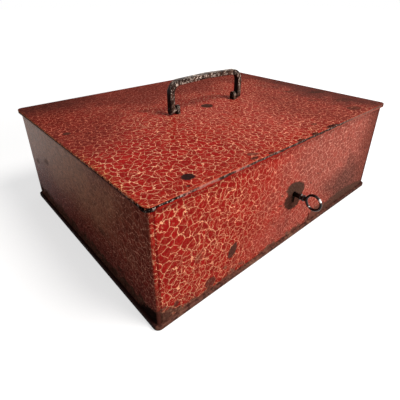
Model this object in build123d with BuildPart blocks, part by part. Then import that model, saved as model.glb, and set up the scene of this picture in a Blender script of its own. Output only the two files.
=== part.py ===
from build123d import *
from math import sqrt
import os

# Strongbox of folded sheet steel, in millimetres. The origin is the middle of the underside,
# X runs along the front, -Y is the front and +Z is up. The lid is shut and the key stands in
# the lock with its bit down.

os.makedirs("parts", exist_ok=True)

# Walls and base
body_length = 295.0  # over the outer faces of the side walls
body_depth = 228.5  # over the outer faces of the front and back walls
rim_height = 99.4  # folded top edge of the walls above the table
sheet = 1.0  # sheet steel of walls, base and lid
corner_bend = 1.8  # outside radius of the upright corners
corner_lip = 3.0  # return of a side wall onto the front and the back
seam_gap = 0.3  # groove between that return and the joggled sheet
joggle_run = 1.2  # length of the joggle that tucks the sheet behind the return
hem_depth = 6.0  # fold along the top of each wall
hem_end = 2.0  # hem stops this far short of the corner it meets
foot_flange = 1.1  # turned-out foot of each wall, held in the base seam
foot_end = 6.0  # foot stops this far short of the corners
base_proud = 2.4  # the rolled base seam stands out this far from the walls
seam_height = 3.8  # height of the rolled base seam
base_corner = 4.5  # outside radius of the base corners
seam_roll = 0.7  # rounding of the base seam
base_seat = 0.05  # play between the base seam and the walls

# Lid
lid_overhang = 2.5  # beyond front and side walls
lid_back_overhang = 3.5  # beyond the back wall
lid_skirt = 3.5  # height of the turned-down edge
lid_corner = 5.0  # outside radius of the lid corners
lid_fold = 0.8  # rounding where the lid turns down
lid_seat = 0.1  # play between the lid and the walls it rests on
rim_t = 1.5  # flat strips that stand on edge under the lid
rim_drop = 6.0  # depth of the strips inside the walls
rim_play = 0.3  # between the strips and the hems
rim_back_stop = 30.0  # the side strips end this far from the back wall

# Hinges
hinge_width = 42.0
hinge_inset = 36.5  # from a side wall to the end of its hinge
hinge_pin_r = 1.15
hinge_leaf = 0.8
hinge_play = 0.05  # running clearance round the pin
hinge_clear = 0.1  # between knuckles and the wall or lid behind them
lid_knuckle = 16.0  # length of the middle knuckle
knuckle_gap = 0.25  # between neighbouring knuckles
leaf_reach = 22.0  # from the pin to the end of a leaf
hinge_notch = 1.5  # room beside a hinge in the lid edge
hinge_rivet_pitch = 14.0
wall_rivet_drop = 13.0  # below the pin
lid_rivet_reach = 12.0  # in front of the pin

# Rivets
rivet_r = 1.4
rivet_head_r = 2.5
rivet_head = 1.1
rivet_bevel = 0.7  # the edge of a head falls away over this width
rivet_clinch_r = 2.1
rivet_clinch = 0.7

# Handle and ears
handle_width = 95.0  # over the outer faces of the legs
handle_rise = 33.3  # top of the bar above the lid
handle_crown = 1.4  # rise of the middle of the bar
handle_bar_t = 5.0
handle_depth = 6.5
handle_corner = 12.5  # outside radius of the two bends
handle_crown_r = 150.0
handle_edge = 0.9  # rounding of the long edges
pivot_height = 4.3  # above the lid
pivot_r = 1.4
pivot_play = 0.05
pivot_head_r = 2.4
pivot_head = 0.8
ear_gap = 2.6  # between a leg and its ear, filled by the pin's shoulder
ear_t = 3.2
ear_depth = 6.0
ear_height = 8.5
tang_t = 2.4
tang_depth = 4.0
tang_clinch = 0.8
ear_washer = 12.0
ear_washer_t = 1.0

# Lock
key_height = 47.6  # lock axis above the table
lock_plate_t = 2.0
cover_t = 1.2
cover_corner = 3.0
cover_clear = 0.5  # between the cover and what moves inside it
flange_width = 8.0
lock_margin = 2.0  # lock plate beyond the cover's flanges
bit_r = 9.0  # tip of the bit from the lock axis
bit_t = 2.0
bit_length = 7.0
bit_clear = 0.6
keyhole_clear = 0.5
bolt_lift = 5.2  # underside of the bolt above the lock axis
bolt_web = 9.5  # height of the bolt above its talon notch
bolt_t = 3.0
bolt_throw = 8.0
bolt_tail = 32.0  # length of the bolt behind the lock axis
horn_width = 2.5  # wall of the talon notch that the bit pushes
head_height = 8.0
blade_t = 3.0  # thickness of the staple's blade
blade_width = 8.0
blade_gap = 1.2  # bolt head to blade with the lock open
blade_below = 3.5  # metal under the staple's eye
eye_clear = 0.45
staple_foot = 24.0
staple_foot_t = 1.5
staple_rivet_pitch = 15.0
stud_r = 1.5
stud_shoulder_r = 2.6
stud_head_r = 2.5
stud_head = 1.0
stud_play = 0.05
slot_play = 0.1
left_stud = -18.0
right_stud = 4.0
spring_t = 0.5
spring_width = 3.0
spring_rise = 3.2
spring_half = 17.0
spring_centre = -12.0
spring_touch = 0.05
screw_r = 1.4
screw_head_r = 2.6
screw_head = 1.6
screw_slot = 0.7
screw_slot_depth = 0.8
screw_inset = 8.0  # from the ends of the flanges
ward_r = 5.4
ward_t = 1.0
ward_height = 3.5
ward_clear = 0.35
drill_pin_r = 1.2
drill_pin_collar_r = 2.2
drill_pin_collar = 0.9
drill_pin_reach = 9.0
drill_pin_play = 0.05

# Key
shank_r = 2.1
pipe_play = 0.08
pipe_depth = 13.0
key_stand = 19.0  # middle of the bow in front of the front wall
bow_r = 6.65  # middle of the wire of the bow
bow_wire_r = 1.15
collar_r = 2.9
collar_length = 1.5
collar_stand = 6.0  # first collar in front of the front wall
collar_gap = 1.3

# Planes and axes that several pieces share
half_x = body_length / 2
half_y = body_depth / 2
wall_height = rim_height - sheet
lid_under = rim_height + lid_seat
lid_top = lid_under + sheet
lid_edge = lid_top - lid_skirt
knuckle_r = hinge_pin_r + hinge_play + hinge_leaf
hinge_y = half_y + knuckle_r + hinge_clear
hinge_z = lid_under - knuckle_r - hinge_clear
hinge_centre = half_x - hinge_inset - hinge_width / 2
hinge_centres = (-hinge_centre, hinge_centre)
hem_inner_y = half_y - 2 * sheet
rim_x = half_x - 2 * sheet - rim_play
rim_y = hem_inner_y - rim_play
reach_through = 4 * lid_skirt  # cuts that pass right through thin sheet


def front_plane(y):
    """Plane that faces the viewer at depth y, with X to the right and Z up."""
    return Plane.XZ.offset(-y)


# Base: a pan whose edge is rolled over the feet of the walls
base_length = body_length + 2 * base_proud
base_depth = body_depth + 2 * base_proud
with BuildPart() as base_pan:
    with BuildSketch():
        RectangleRounded(base_length, base_depth, base_corner)
    extrude(amount=seam_height)
    fillet(base_pan.faces().filter_by(Axis.Z).edges(), radius=seam_roll)
    with BuildSketch(Plane.XY.offset(sheet)):
        RectangleRounded(base_length - 2 * sheet, base_depth - 2 * sheet, base_corner - sheet)
    extrude(amount=seam_height - 2 * sheet, mode=Mode.SUBTRACT)
    with BuildSketch(Plane.XY.offset(sheet)):
        RectangleRounded(body_length + 2 * base_seat, body_depth + 2 * base_seat, corner_bend)
    extrude(amount=seam_height, mode=Mode.SUBTRACT)
base_pan.part.label = "base_pan"
export_step(base_pan.part, "parts/base_pan.step")


# Side walls: each returns round both corners, with a turned-out foot and a hem along the top
side_hem = body_depth - 2 * (2 * sheet + hem_end)
with BuildPart() as right_wall:
    with BuildSketch(Plane.XY.offset(sheet)):
        RectangleRounded(body_length, body_depth, corner_bend)
        RectangleRounded(
            body_length - 2 * sheet, body_depth - 2 * sheet, corner_bend - sheet, mode=Mode.SUBTRACT
        )
        with Locations((-corner_lip, 0)):
            Rectangle(body_length, body_depth, mode=Mode.SUBTRACT)
    extrude(amount=wall_height)
    with BuildSketch(Plane.XY.offset(sheet)):
        with Locations((half_x + foot_flange / 2, 0)):
            Rectangle(foot_flange, body_depth - 2 * foot_end)
    extrude(amount=sheet)
    with BuildSketch(Plane.XY.offset(rim_height - hem_depth)):
        with Locations((half_x - 1.5 * sheet, 0)):
            Rectangle(sheet, side_hem)
    extrude(amount=hem_depth)
right_wall.part.label = "right_wall"
export_step(right_wall.part, "parts/right_wall.step")

with BuildPart() as left_wall:
    mirror(right_wall.part, about=Plane.YZ)
left_wall.part.label = "left_wall"
export_step(left_wall.part, "parts/left_wall.step")


# Front and back walls share one folded blank, whose ends tuck behind the returns
seam_x = half_x - corner_lip - seam_gap
tuck_x = half_x - corner_bend
front_hem = 2 * (seam_x - joggle_run - hem_end)
with BuildPart() as wall_blank:
    with BuildSketch(Plane.XY.offset(sheet)):
        with BuildLine():
            Polyline(
                (0, -half_y),
                (seam_x - joggle_run, -half_y),
                (seam_x, -half_y + sheet),
                (tuck_x, -half_y + sheet),
                (tuck_x, -half_y + 2 * sheet),
                (seam_x - sheet / 2, -half_y + 2 * sheet),
                (seam_x - joggle_run - sheet / 2, -half_y + sheet),
                (0, -half_y + sheet),
                close=True,
            )
        make_face()
        mirror(about=Plane.YZ)
    extrude(amount=wall_height)
    with BuildSketch(Plane.XY.offset(sheet)):
        with Locations((0, -half_y - foot_flange / 2)):
            Rectangle(body_length - 2 * foot_end, foot_flange)
    extrude(amount=sheet)
    with BuildSketch(Plane.XY.offset(rim_height - hem_depth)):
        with Locations((0, -half_y + 1.5 * sheet)):
            Rectangle(front_hem, sheet)
    extrude(amount=hem_depth)


# Keyhole for the shank with a slot below it for the bit
keyhole_r = shank_r + keyhole_clear
slot_drop = bit_r + keyhole_clear
slot_width = bit_t + 2 * keyhole_clear
with BuildSketch(front_plane(-half_y)) as keyhole:
    with Locations((0, key_height)):
        Circle(keyhole_r)
        Rectangle(slot_width, slot_drop, align=(Align.CENTER, Align.MAX))
    fillet(keyhole.vertices().group_by(Axis.Z)[0], radius=keyhole_clear)

with BuildPart() as front_wall:
    add(wall_blank.part)
    extrude(keyhole.sketch, amount=-2 * sheet, mode=Mode.SUBTRACT)
front_wall.part.label = "front_wall"
export_step(front_wall.part, "parts/front_wall.step")


# Back wall: notched for the lid leaves and pierced for the rivets of the wall leaves
wall_rivets = [
    (centre + step * hinge_rivet_pitch, hinge_z - wall_rivet_drop)
    for centre in hinge_centres
    for step in (-1, 0, 1)
]
notch_floor = lid_under - hinge_leaf - 2 * hinge_clear
with BuildPart() as back_wall:
    mirror(wall_blank.part, about=Plane.XZ)
    with BuildSketch(Plane.XY.offset(notch_floor)):
        with Locations(*[(centre, half_y - sheet) for centre in hinge_centres]):
            Rectangle(hinge_width + 2 * hinge_notch, 3 * sheet)
    extrude(amount=rim_height, mode=Mode.SUBTRACT)
    with BuildSketch(front_plane(half_y)):
        with Locations(*wall_rivets):
            Circle(rivet_r)
    extrude(amount=2 * sheet, mode=Mode.SUBTRACT)
back_wall.part.label = "back_wall"
export_step(back_wall.part, "parts/back_wall.step")


# Lid plate: a shallow pan over the walls, its back edge cut away at the hinges
lid_length = body_length + 2 * lid_overhang
lid_depth = body_depth + lid_overhang + lid_back_overhang
lid_middle = (lid_back_overhang - lid_overhang) / 2
lid_rivets = [
    (centre + step * hinge_rivet_pitch, hinge_y - lid_rivet_reach)
    for centre in hinge_centres
    for step in (-1, 0, 1)
]

# Lock geometry that reaches up to the lid: the staple's blade is cut from rings about the
# hinge pin, so it swings out of the lock along its own outline
talon_reach = sqrt(bit_r**2 - bolt_lift**2) + bit_t / 2 + bit_clear
talon_left = -talon_reach - bolt_throw / 2
talon_right = talon_reach - bolt_throw / 2
blade_x = talon_right + horn_width + bolt_throw + cover_clear
blade_middle = blade_x + blade_t / 2
blade_front_r = hinge_y + rim_y - rim_t - lid_seat
blade_back_r = blade_front_r - blade_width
bolt_bottom = key_height + bolt_lift
talon_top = key_height + bit_r + bit_clear
bolt_top = talon_top + bolt_web
head_bottom = bolt_top - head_height
head_middle = (bolt_top + head_bottom) / 2
blade_bottom = head_bottom - eye_clear - blade_below
blade_mid_r = (blade_front_r + blade_back_r) / 2
bolt_y = hinge_y - sqrt(blade_mid_r**2 - (hinge_z - head_middle) ** 2)
blade_back_y = hinge_y - sqrt(blade_back_r**2 - (hinge_z - blade_bottom) ** 2)
foot_top = lid_under
foot_y = -rim_y + rim_t + lid_seat
staple_rivets_at = [
    (blade_middle - staple_rivet_pitch / 2, foot_y + blade_width / 2),
    (blade_middle + staple_rivet_pitch / 2, foot_y + blade_width / 2),
]

# Handle ears
ear_outer = handle_width / 2 - handle_bar_t - ear_gap
ear_middle = ear_outer - ear_t / 2
pivot_z = lid_top + pivot_height

with BuildPart() as lid_plate:
    with BuildSketch(Plane.XY.offset(lid_edge)):
        with Locations((0, lid_middle)):
            RectangleRounded(lid_length, lid_depth, lid_corner)
    extrude(amount=lid_skirt)
    fillet(lid_plate.faces().sort_by(Axis.Z)[-1].edges(), radius=lid_fold)
    with BuildSketch(Plane.XY.offset(lid_edge)):
        with Locations((0, lid_middle)):
            RectangleRounded(lid_length - 2 * sheet, lid_depth - 2 * sheet, lid_corner - sheet)
    extrude(amount=lid_skirt - sheet, mode=Mode.SUBTRACT)
    with BuildSketch(Plane.XY.offset(lid_edge)):
        with Locations(*[(centre, half_y + lid_back_overhang) for centre in hinge_centres]):
            Rectangle(hinge_width + 2 * hinge_notch, 2 * (lid_back_overhang - sheet / 2))
    extrude(amount=lid_skirt - sheet, mode=Mode.SUBTRACT)
    with BuildSketch(Plane.XY.offset(lid_under)):
        with Locations(*lid_rivets, *staple_rivets_at):
            Circle(rivet_r)
        with Locations((-ear_middle, 0), (ear_middle, 0)):
            Rectangle(tang_t, tang_depth)
    extrude(amount=reach_through, mode=Mode.SUBTRACT)
lid_plate.part.label = "lid_plate"
export_step(lid_plate.part, "parts/lid_plate.step")


# Inner rim of the lid: three flat strips on edge, open towards the hinges
rim_depth = rim_y - rim_t + half_y - rim_back_stop
with BuildPart() as lid_rim:
    with BuildSketch(Plane.XY.offset(lid_under)):
        with Locations((0, -rim_y)):
            Rectangle(2 * rim_x, rim_t, align=(Align.CENTER, Align.MIN))
    extrude(amount=-rim_drop)
lid_rim.part.label = "lid_rim"
export_step(lid_rim.part, "parts/lid_rim.step")

with BuildPart() as right_lid_rim:
    with BuildSketch(Plane.XY.offset(lid_under)):
        with Locations((rim_x, -rim_y + rim_t)):
            Rectangle(rim_t, rim_depth, align=(Align.MAX, Align.MIN))
    extrude(amount=-rim_drop)
right_lid_rim.part.label = "right_lid_rim"
export_step(right_lid_rim.part, "parts/right_lid_rim.step")

with BuildPart() as left_lid_rim:
    mirror(right_lid_rim.part, about=Plane.YZ)
left_lid_rim.part.label = "left_lid_rim"
export_step(left_lid_rim.part, "parts/left_lid_rim.step")


# Butt hinges: the wall leaf has the two end knuckles, the lid leaf the middle one
for side, centre in zip(("left", "right"), hinge_centres):
    with BuildPart() as wall_leaf:
        with BuildSketch(Plane.YZ.offset(centre)):
            with Locations((hinge_y, hinge_z)):
                Circle(knuckle_r)
            with Locations((half_y, hinge_z)):
                Rectangle(hinge_leaf, leaf_reach, align=(Align.MIN, Align.MAX))
            with Locations((hinge_y, hinge_z)):
                Circle(hinge_pin_r, mode=Mode.SUBTRACT)
        extrude(amount=hinge_width / 2, both=True)
        with BuildSketch(Plane.YZ.offset(centre)):
            with Locations((half_y, hinge_z - knuckle_r - knuckle_gap)):
                Rectangle(3 * knuckle_r, 3 * knuckle_r, align=(Align.MIN, Align.MIN))
        extrude(amount=lid_knuckle / 2 + knuckle_gap, both=True, mode=Mode.SUBTRACT)
        with BuildSketch(front_plane(half_y)):
            with Locations(*[point for point in wall_rivets if abs(point[0] - centre) < hinge_width / 2]):
                Circle(rivet_r)
        extrude(amount=-2 * hinge_leaf, mode=Mode.SUBTRACT)
    wall_leaf.part.label = f"{side}_hinge_wall_leaf"
    export_step(wall_leaf.part, f"parts/{side}_hinge_wall_leaf.step")

    with BuildPart() as lid_leaf:
        with BuildSketch(Plane.YZ.offset(centre)):
            with Locations((hinge_y, hinge_z)):
                Circle(knuckle_r)
            with Locations((hinge_y, lid_under)):
                Rectangle(leaf_reach, hinge_leaf, align=(Align.MAX, Align.MAX))
            with Locations((hinge_y, hinge_z)):
                Circle(hinge_pin_r + hinge_play, mode=Mode.SUBTRACT)
        extrude(amount=hinge_width / 2, both=True)
        for end in (-1, 1):
            with BuildSketch(Plane.XY.offset(hinge_z - 2 * knuckle_r)):
                with Locations((centre + end * (lid_knuckle + hinge_width) / 2, hinge_y)):
                    Rectangle(hinge_width, 2 * (knuckle_r + knuckle_gap))
            extrude(amount=4 * knuckle_r, mode=Mode.SUBTRACT)
        with BuildSketch(Plane.XY.offset(lid_under)):
            with Locations(*[point for point in lid_rivets if abs(point[0] - centre) < hinge_width / 2]):
                Circle(rivet_r)
        extrude(amount=-2 * hinge_leaf, mode=Mode.SUBTRACT)
    lid_leaf.part.label = f"{side}_hinge_lid_leaf"
    export_step(lid_leaf.part, f"parts/{side}_hinge_lid_leaf.step")

    with BuildPart() as hinge_pin:
        with BuildSketch(Plane.YZ.offset(centre)):
            with Locations((hinge_y, hinge_z)):
                Circle(hinge_pin_r)
        extrude(amount=(hinge_width + hinge_notch) / 2, both=True)
        chamfer(hinge_pin.edges().filter_by(GeomType.CIRCLE), length=hinge_pin_r / 3)
    hinge_pin.part.label = f"{side}_hinge_pin"
    export_step(hinge_pin.part, f"parts/{side}_hinge_pin.step")


# Hinge rivets: domed outside and clinched inside on the back wall, flush with the top of the lid
rivet_back = half_y + hinge_leaf
with BuildPart() as hinge_wall_rivets:
    with BuildSketch(front_plane(rivet_back)):
        with Locations(*wall_rivets):
            Circle(rivet_r)
    extrude(amount=hinge_leaf + sheet)
    with BuildSketch(front_plane(rivet_back)):
        with Locations(*wall_rivets):
            Circle(rivet_head_r)
    extrude(amount=-rivet_head)
    chamfer(hinge_wall_rivets.faces().group_by(Axis.Y)[-1].edges(), length=rivet_bevel)
    with BuildSketch(front_plane(half_y - sheet)):
        with Locations(*wall_rivets):
            Circle(rivet_clinch_r)
    extrude(amount=rivet_clinch)
hinge_wall_rivets.part.label = "hinge_wall_rivets"
export_step(hinge_wall_rivets.part, "parts/hinge_wall_rivets.step")

with BuildPart() as hinge_lid_rivets:
    with BuildSketch(Plane.XY.offset(lid_top)):
        with Locations(*lid_rivets):
            Circle(rivet_r)
    extrude(amount=-sheet - hinge_leaf)
    with BuildSketch(Plane.XY.offset(lid_under - hinge_leaf)):
        with Locations(*lid_rivets):
            Circle(rivet_head_r)
    extrude(amount=-rivet_head)
    chamfer(hinge_lid_rivets.faces().group_by(Axis.Z)[0].edges(), length=rivet_bevel)
hinge_lid_rivets.part.label = "hinge_lid_rivets"
export_step(hinge_lid_rivets.part, "parts/hinge_lid_rivets.step")


# Ears: upright tabs with round tops, whose tangs pass through the lid and are clinched below
with BuildPart() as right_ear:
    with BuildSketch(Plane.YZ.offset(ear_middle)):
        with Locations((0, lid_top)):
            Rectangle(ear_depth, ear_height - ear_depth / 2, align=(Align.CENTER, Align.MIN))
        with Locations((0, lid_top + ear_height - ear_depth / 2)):
            Circle(ear_depth / 2)
    extrude(amount=ear_t / 2, both=True)
    with BuildSketch(Plane.XY.offset(lid_top)):
        with Locations((ear_middle, 0)):
            Rectangle(tang_t, tang_depth)
    extrude(amount=-sheet - ear_washer_t - tang_clinch)
    with BuildSketch(Plane.XY.offset(lid_under - ear_washer_t)):
        with Locations((ear_middle, 0)):
            Rectangle(ear_t, ear_depth)
    extrude(amount=-tang_clinch)
    with BuildSketch(Plane.YZ.offset(ear_middle)):
        with Locations((0, pivot_z)):
            Circle(pivot_r)
    extrude(amount=ear_t, both=True, mode=Mode.SUBTRACT)
right_ear.part.label = "right_ear"
export_step(right_ear.part, "parts/right_ear.step")

with BuildPart() as left_ear:
    mirror(right_ear.part, about=Plane.YZ)
left_ear.part.label = "left_ear"
export_step(left_ear.part, "parts/left_ear.step")

with BuildPart() as ear_washers:
    with BuildSketch(Plane.XY.offset(lid_under)):
        with Locations((-ear_middle, 0), (ear_middle, 0)):
            RectangleRounded(ear_washer, ear_washer, ear_washer_t)
            Rectangle(tang_t, tang_depth, mode=Mode.SUBTRACT)
    extrude(amount=-ear_washer_t)
ear_washers.part.label = "ear_washers"
export_step(ear_washers.part, "parts/ear_washers.step")


# Handle: a flat bar bent to a U with a slight crown, its feet rounded round the pivots
crown_z = lid_top + handle_rise
leg_x = handle_width / 2
leg_foot = pivot_z - handle_depth / 2
with BuildPart() as handle_bar:
    with BuildSketch(Plane.XZ):
        with BuildLine():
            FilletPolyline(
                (-leg_x, leg_foot),
                (-leg_x, crown_z - handle_crown),
                (0, crown_z),
                (leg_x, crown_z - handle_crown),
                (leg_x, leg_foot),
                radius=[handle_corner, handle_crown_r, handle_corner],
            )
            Line((leg_x, leg_foot), (leg_x - handle_bar_t, leg_foot))
            FilletPolyline(
                (leg_x - handle_bar_t, leg_foot),
                (leg_x - handle_bar_t, crown_z - handle_crown - handle_bar_t),
                (0, crown_z - handle_bar_t),
                (-leg_x + handle_bar_t, crown_z - handle_crown - handle_bar_t),
                (-leg_x + handle_bar_t, leg_foot),
                radius=[
                    handle_corner - handle_bar_t,
                    handle_crown_r - handle_bar_t,
                    handle_corner - handle_bar_t,
                ],
            )
            Line((-leg_x + handle_bar_t, leg_foot), (-leg_x, leg_foot))
        make_face()
    extrude(amount=handle_depth / 2, both=True)
    fillet(handle_bar.faces().filter_by(Axis.Y).edges().filter_by(Axis.X, reverse=True), radius=handle_edge)
    with BuildSketch(Plane.YZ):
        with Locations((0, leg_foot)):
            Rectangle(handle_depth, handle_depth / 2, align=(Align.CENTER, Align.MIN))
        with Locations((0, pivot_z)):
            Circle(handle_depth / 2, mode=Mode.SUBTRACT)
    extrude(amount=handle_width, both=True, mode=Mode.SUBTRACT)
    with BuildSketch(Plane.YZ):
        with Locations((0, pivot_z)):
            Circle(pivot_r + pivot_play)
    extrude(amount=handle_width, both=True, mode=Mode.SUBTRACT)
handle_bar.part.label = "handle_bar"
export_step(handle_bar.part, "parts/handle_bar.step")

# Pivot pins: head outside the leg, shoulder between leg and ear, clinched inside the ear
with BuildPart() as pivot_pins:
    with BuildSketch(Plane.XZ):
        with BuildLine():
            Polyline(
                (ear_outer - ear_t - rivet_clinch, pivot_z),
                (ear_outer - ear_t - rivet_clinch, pivot_z + rivet_clinch_r),
                (ear_outer - ear_t, pivot_z + rivet_clinch_r),
                (ear_outer - ear_t, pivot_z + pivot_r),
                (ear_outer, pivot_z + pivot_r),
                (ear_outer, pivot_z + rivet_clinch_r),
                (leg_x - handle_bar_t - pivot_play, pivot_z + rivet_clinch_r),
                (leg_x - handle_bar_t - pivot_play, pivot_z + pivot_r),
                (leg_x + pivot_play, pivot_z + pivot_r),
                (leg_x + pivot_play, pivot_z + pivot_head_r),
                (leg_x + pivot_play + pivot_head / 2, pivot_z + pivot_head_r),
                (leg_x + pivot_play + pivot_head, pivot_z + pivot_r),
                (leg_x + pivot_play + pivot_head, pivot_z),
                close=True,
            )
        make_face()
    revolve(axis=Axis((0, 0, pivot_z), (1, 0, 0)))
    mirror(about=Plane.YZ)
pivot_pins.part.label = "pivot_pins"
export_step(pivot_pins.part, "parts/pivot_pins.step")


# Staple: a foot under the lid and a curved blade with an eye for the bolt's head
foot_bottom = foot_top - staple_foot_t
with BuildPart() as lid_staple:
    with BuildSketch(Plane.YZ.offset(blade_x)):
        with Locations((hinge_y, hinge_z)):
            Circle(blade_front_r)
            Circle(blade_back_r, mode=Mode.SUBTRACT)
        with Locations((0, blade_bottom)):
            Rectangle(
                2 * blade_front_r,
                foot_top - blade_bottom,
                align=(Align.MAX, Align.MIN),
                mode=Mode.INTERSECT,
            )
    extrude(amount=blade_t)
    with BuildSketch(Plane.XY.offset(foot_bottom)):
        with Locations((blade_middle, foot_y)):
            Rectangle(staple_foot, blade_width, align=(Align.CENTER, Align.MIN))
    extrude(amount=staple_foot_t)
    with BuildSketch(Plane.YZ.offset(blade_x)):
        with Locations((bolt_y, head_middle)):
            Rectangle(bolt_t + 2 * eye_clear, head_height + 2 * eye_clear)
    extrude(amount=blade_t, mode=Mode.SUBTRACT)
    with BuildSketch(Plane.XY.offset(foot_bottom)):
        with Locations(*staple_rivets_at):
            Circle(rivet_r)
    extrude(amount=staple_foot_t, mode=Mode.SUBTRACT)
lid_staple.part.label = "lid_staple"
export_step(lid_staple.part, "parts/lid_staple.step")

with BuildPart() as staple_rivets:
    with BuildSketch(Plane.XY.offset(lid_top)):
        with Locations(*staple_rivets_at):
            Circle(rivet_r)
    extrude(amount=-sheet - staple_foot_t)
    with BuildSketch(Plane.XY.offset(foot_bottom)):
        with Locations(*staple_rivets_at):
            Circle(rivet_head_r)
    extrude(amount=-rivet_head)
    chamfer(staple_rivets.faces().group_by(Axis.Z)[0].edges(), length=rivet_bevel)
staple_rivets.part.label = "staple_rivets"
export_step(staple_rivets.part, "parts/staple_rivets.step")


# Bolt: two guide slots, a talon notch for the bit and a head that enters the staple
head_end = blade_x - blade_gap
bolt_back = bolt_y + bolt_t / 2
stud_height = (talon_top + bolt_top) / 2
guide_slot = bolt_throw + 2 * (stud_r + slot_play)
studs_at = [(left_stud, stud_height), (right_stud, stud_height)]
with BuildPart() as bolt:
    with BuildSketch(front_plane(bolt_back)):
        with BuildLine():
            Polyline(
                (-bolt_tail, bolt_bottom),
                (talon_left, bolt_bottom),
                (talon_left, talon_top),
                (talon_right, talon_top),
                (talon_right, bolt_bottom),
                (talon_right + horn_width, bolt_bottom),
                (talon_right + horn_width, head_bottom),
                (head_end, head_bottom),
                (head_end, bolt_top),
                (-bolt_tail, bolt_top),
                close=True,
            )
        make_face()
        with Locations(*[(x - bolt_throw / 2, z) for x, z in studs_at]):
            SlotOverall(guide_slot, 2 * (stud_r + slot_play), mode=Mode.SUBTRACT)
    extrude(amount=bolt_t)
bolt.part.label = "bolt"
export_step(bolt.part, "parts/bolt.step")


# Lock plate against the inside of the front wall
case_left = -bolt_tail - cover_clear
case_right = head_end + bolt_throw + 3 * cover_clear
case_top = bolt_top + spring_touch + spring_t + spring_rise + spring_touch
case_bottom = key_height - bit_r - 3 * bit_clear
case_width = case_right - case_left
case_height = case_top - case_bottom
case_x = (case_left + case_right) / 2
case_z = (case_top + case_bottom) / 2
plate_back = -half_y + sheet + lock_plate_t
cover_inner = blade_back_y + cover_clear
cover_outer = cover_inner + cover_t
flange_x = case_width / 2 + cover_t + flange_width / 2
screws_at = [
    (case_x + side * flange_x, case_z + end * (case_height / 2 - screw_inset))
    for side in (-1, 1)
    for end in (-1, 1)
]
with BuildPart() as lock_plate:
    with BuildSketch(front_plane(plate_back)):
        with Locations((case_x, case_z)):
            RectangleRounded(
                case_width + 2 * (cover_t + flange_width + lock_margin),
                case_height + 2 * (cover_t + lock_margin),
                cover_corner,
            )
        with Locations(*screws_at):
            Circle(screw_r, mode=Mode.SUBTRACT)
    extrude(amount=lock_plate_t)
    extrude(keyhole.sketch, amount=-2 * sheet - lock_plate_t, mode=Mode.SUBTRACT)
    with BuildSketch(front_plane(plate_back)):
        with Locations(*studs_at):
            Circle(stud_r)
    extrude(amount=lock_plate_t, mode=Mode.SUBTRACT)
lock_plate.part.label = "lock_plate"
export_step(lock_plate.part, "parts/lock_plate.step")


# Lock cover: a pan with two flanges, slotted above for the staple and bored for the drill pin
cover_depth = cover_outer - plate_back
blade_slot_back = hinge_y - sqrt(blade_back_r**2 - (hinge_z - case_top) ** 2) + cover_clear
with BuildPart() as lock_cover:
    with BuildSketch(front_plane(plate_back)):
        with Locations((case_x, case_z)):
            RectangleRounded(case_width + 2 * cover_t, case_height + 2 * cover_t, cover_corner)
    extrude(amount=-cover_depth)
    fillet(lock_cover.faces().sort_by(Axis.Y)[-1].edges(), radius=cover_t)
    with BuildSketch(front_plane(plate_back)):
        with Locations((case_x, case_z)):
            RectangleRounded(case_width, case_height, cover_corner - cover_t)
    extrude(amount=-cover_depth + cover_t, mode=Mode.SUBTRACT)
    with BuildSketch(front_plane(plate_back)):
        with Locations((case_x - flange_x, case_z), (case_x + flange_x, case_z)):
            Rectangle(flange_width, case_height)
        with Locations(*screws_at):
            Circle(screw_r, mode=Mode.SUBTRACT)
    extrude(amount=-cover_t)
    with BuildSketch(Plane.XY.offset(case_top)):
        with Locations((blade_middle, plate_back)):
            Rectangle(
                blade_t + 2 * cover_clear,
                blade_slot_back - plate_back,
                align=(Align.CENTER, Align.MIN),
            )
    extrude(amount=2 * cover_t, mode=Mode.SUBTRACT)
    with BuildSketch(front_plane(cover_outer)):
        with Locations((0, key_height)):
            Circle(drill_pin_r + drill_pin_play)
    extrude(amount=2 * cover_t, mode=Mode.SUBTRACT)
lock_cover.part.label = "lock_cover"
export_step(lock_cover.part, "parts/lock_cover.step")


# Cheese-head screws through the flanges into the lock plate
screw_seat = plate_back + cover_t
with BuildPart() as lock_screws:
    with BuildSketch(front_plane(screw_seat)):
        with Locations(*screws_at):
            Circle(screw_r)
    extrude(amount=cover_t + lock_plate_t)
    with BuildSketch(front_plane(screw_seat)):
        with Locations(*screws_at):
            Circle(screw_head_r)
    extrude(amount=-screw_head)
    with BuildSketch(front_plane(screw_seat + screw_head)):
        with Locations(*screws_at):
            Rectangle(2 * screw_head_r, screw_slot)
    extrude(amount=screw_slot_depth, mode=Mode.SUBTRACT)
lock_screws.part.label = "lock_screws"
export_step(lock_screws.part, "parts/lock_screws.step")


# Guide studs: riveted in the plate, with a shoulder behind the bolt and a head over it
bolt_front = bolt_y - bolt_t / 2
stud_end = bolt_back + stud_play + stud_head
with BuildPart() as bolt_studs:
    for x, z in studs_at:
        with BuildSketch(front_plane(stud_end)):
            with Locations((x, z)):
                Circle(stud_r)
        extrude(amount=stud_end - plate_back + lock_plate_t)
        with BuildSketch(front_plane(bolt_front - stud_play)):
            with Locations((x, z)):
                Circle(stud_shoulder_r)
        extrude(amount=bolt_front - stud_play - plate_back)
        with BuildSketch(front_plane(stud_end)):
            with Locations((x, z)):
                Circle(stud_head_r)
        extrude(amount=stud_head)
bolt_studs.part.label = "bolt_studs"
export_step(bolt_studs.part, "parts/bolt_studs.step")


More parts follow.
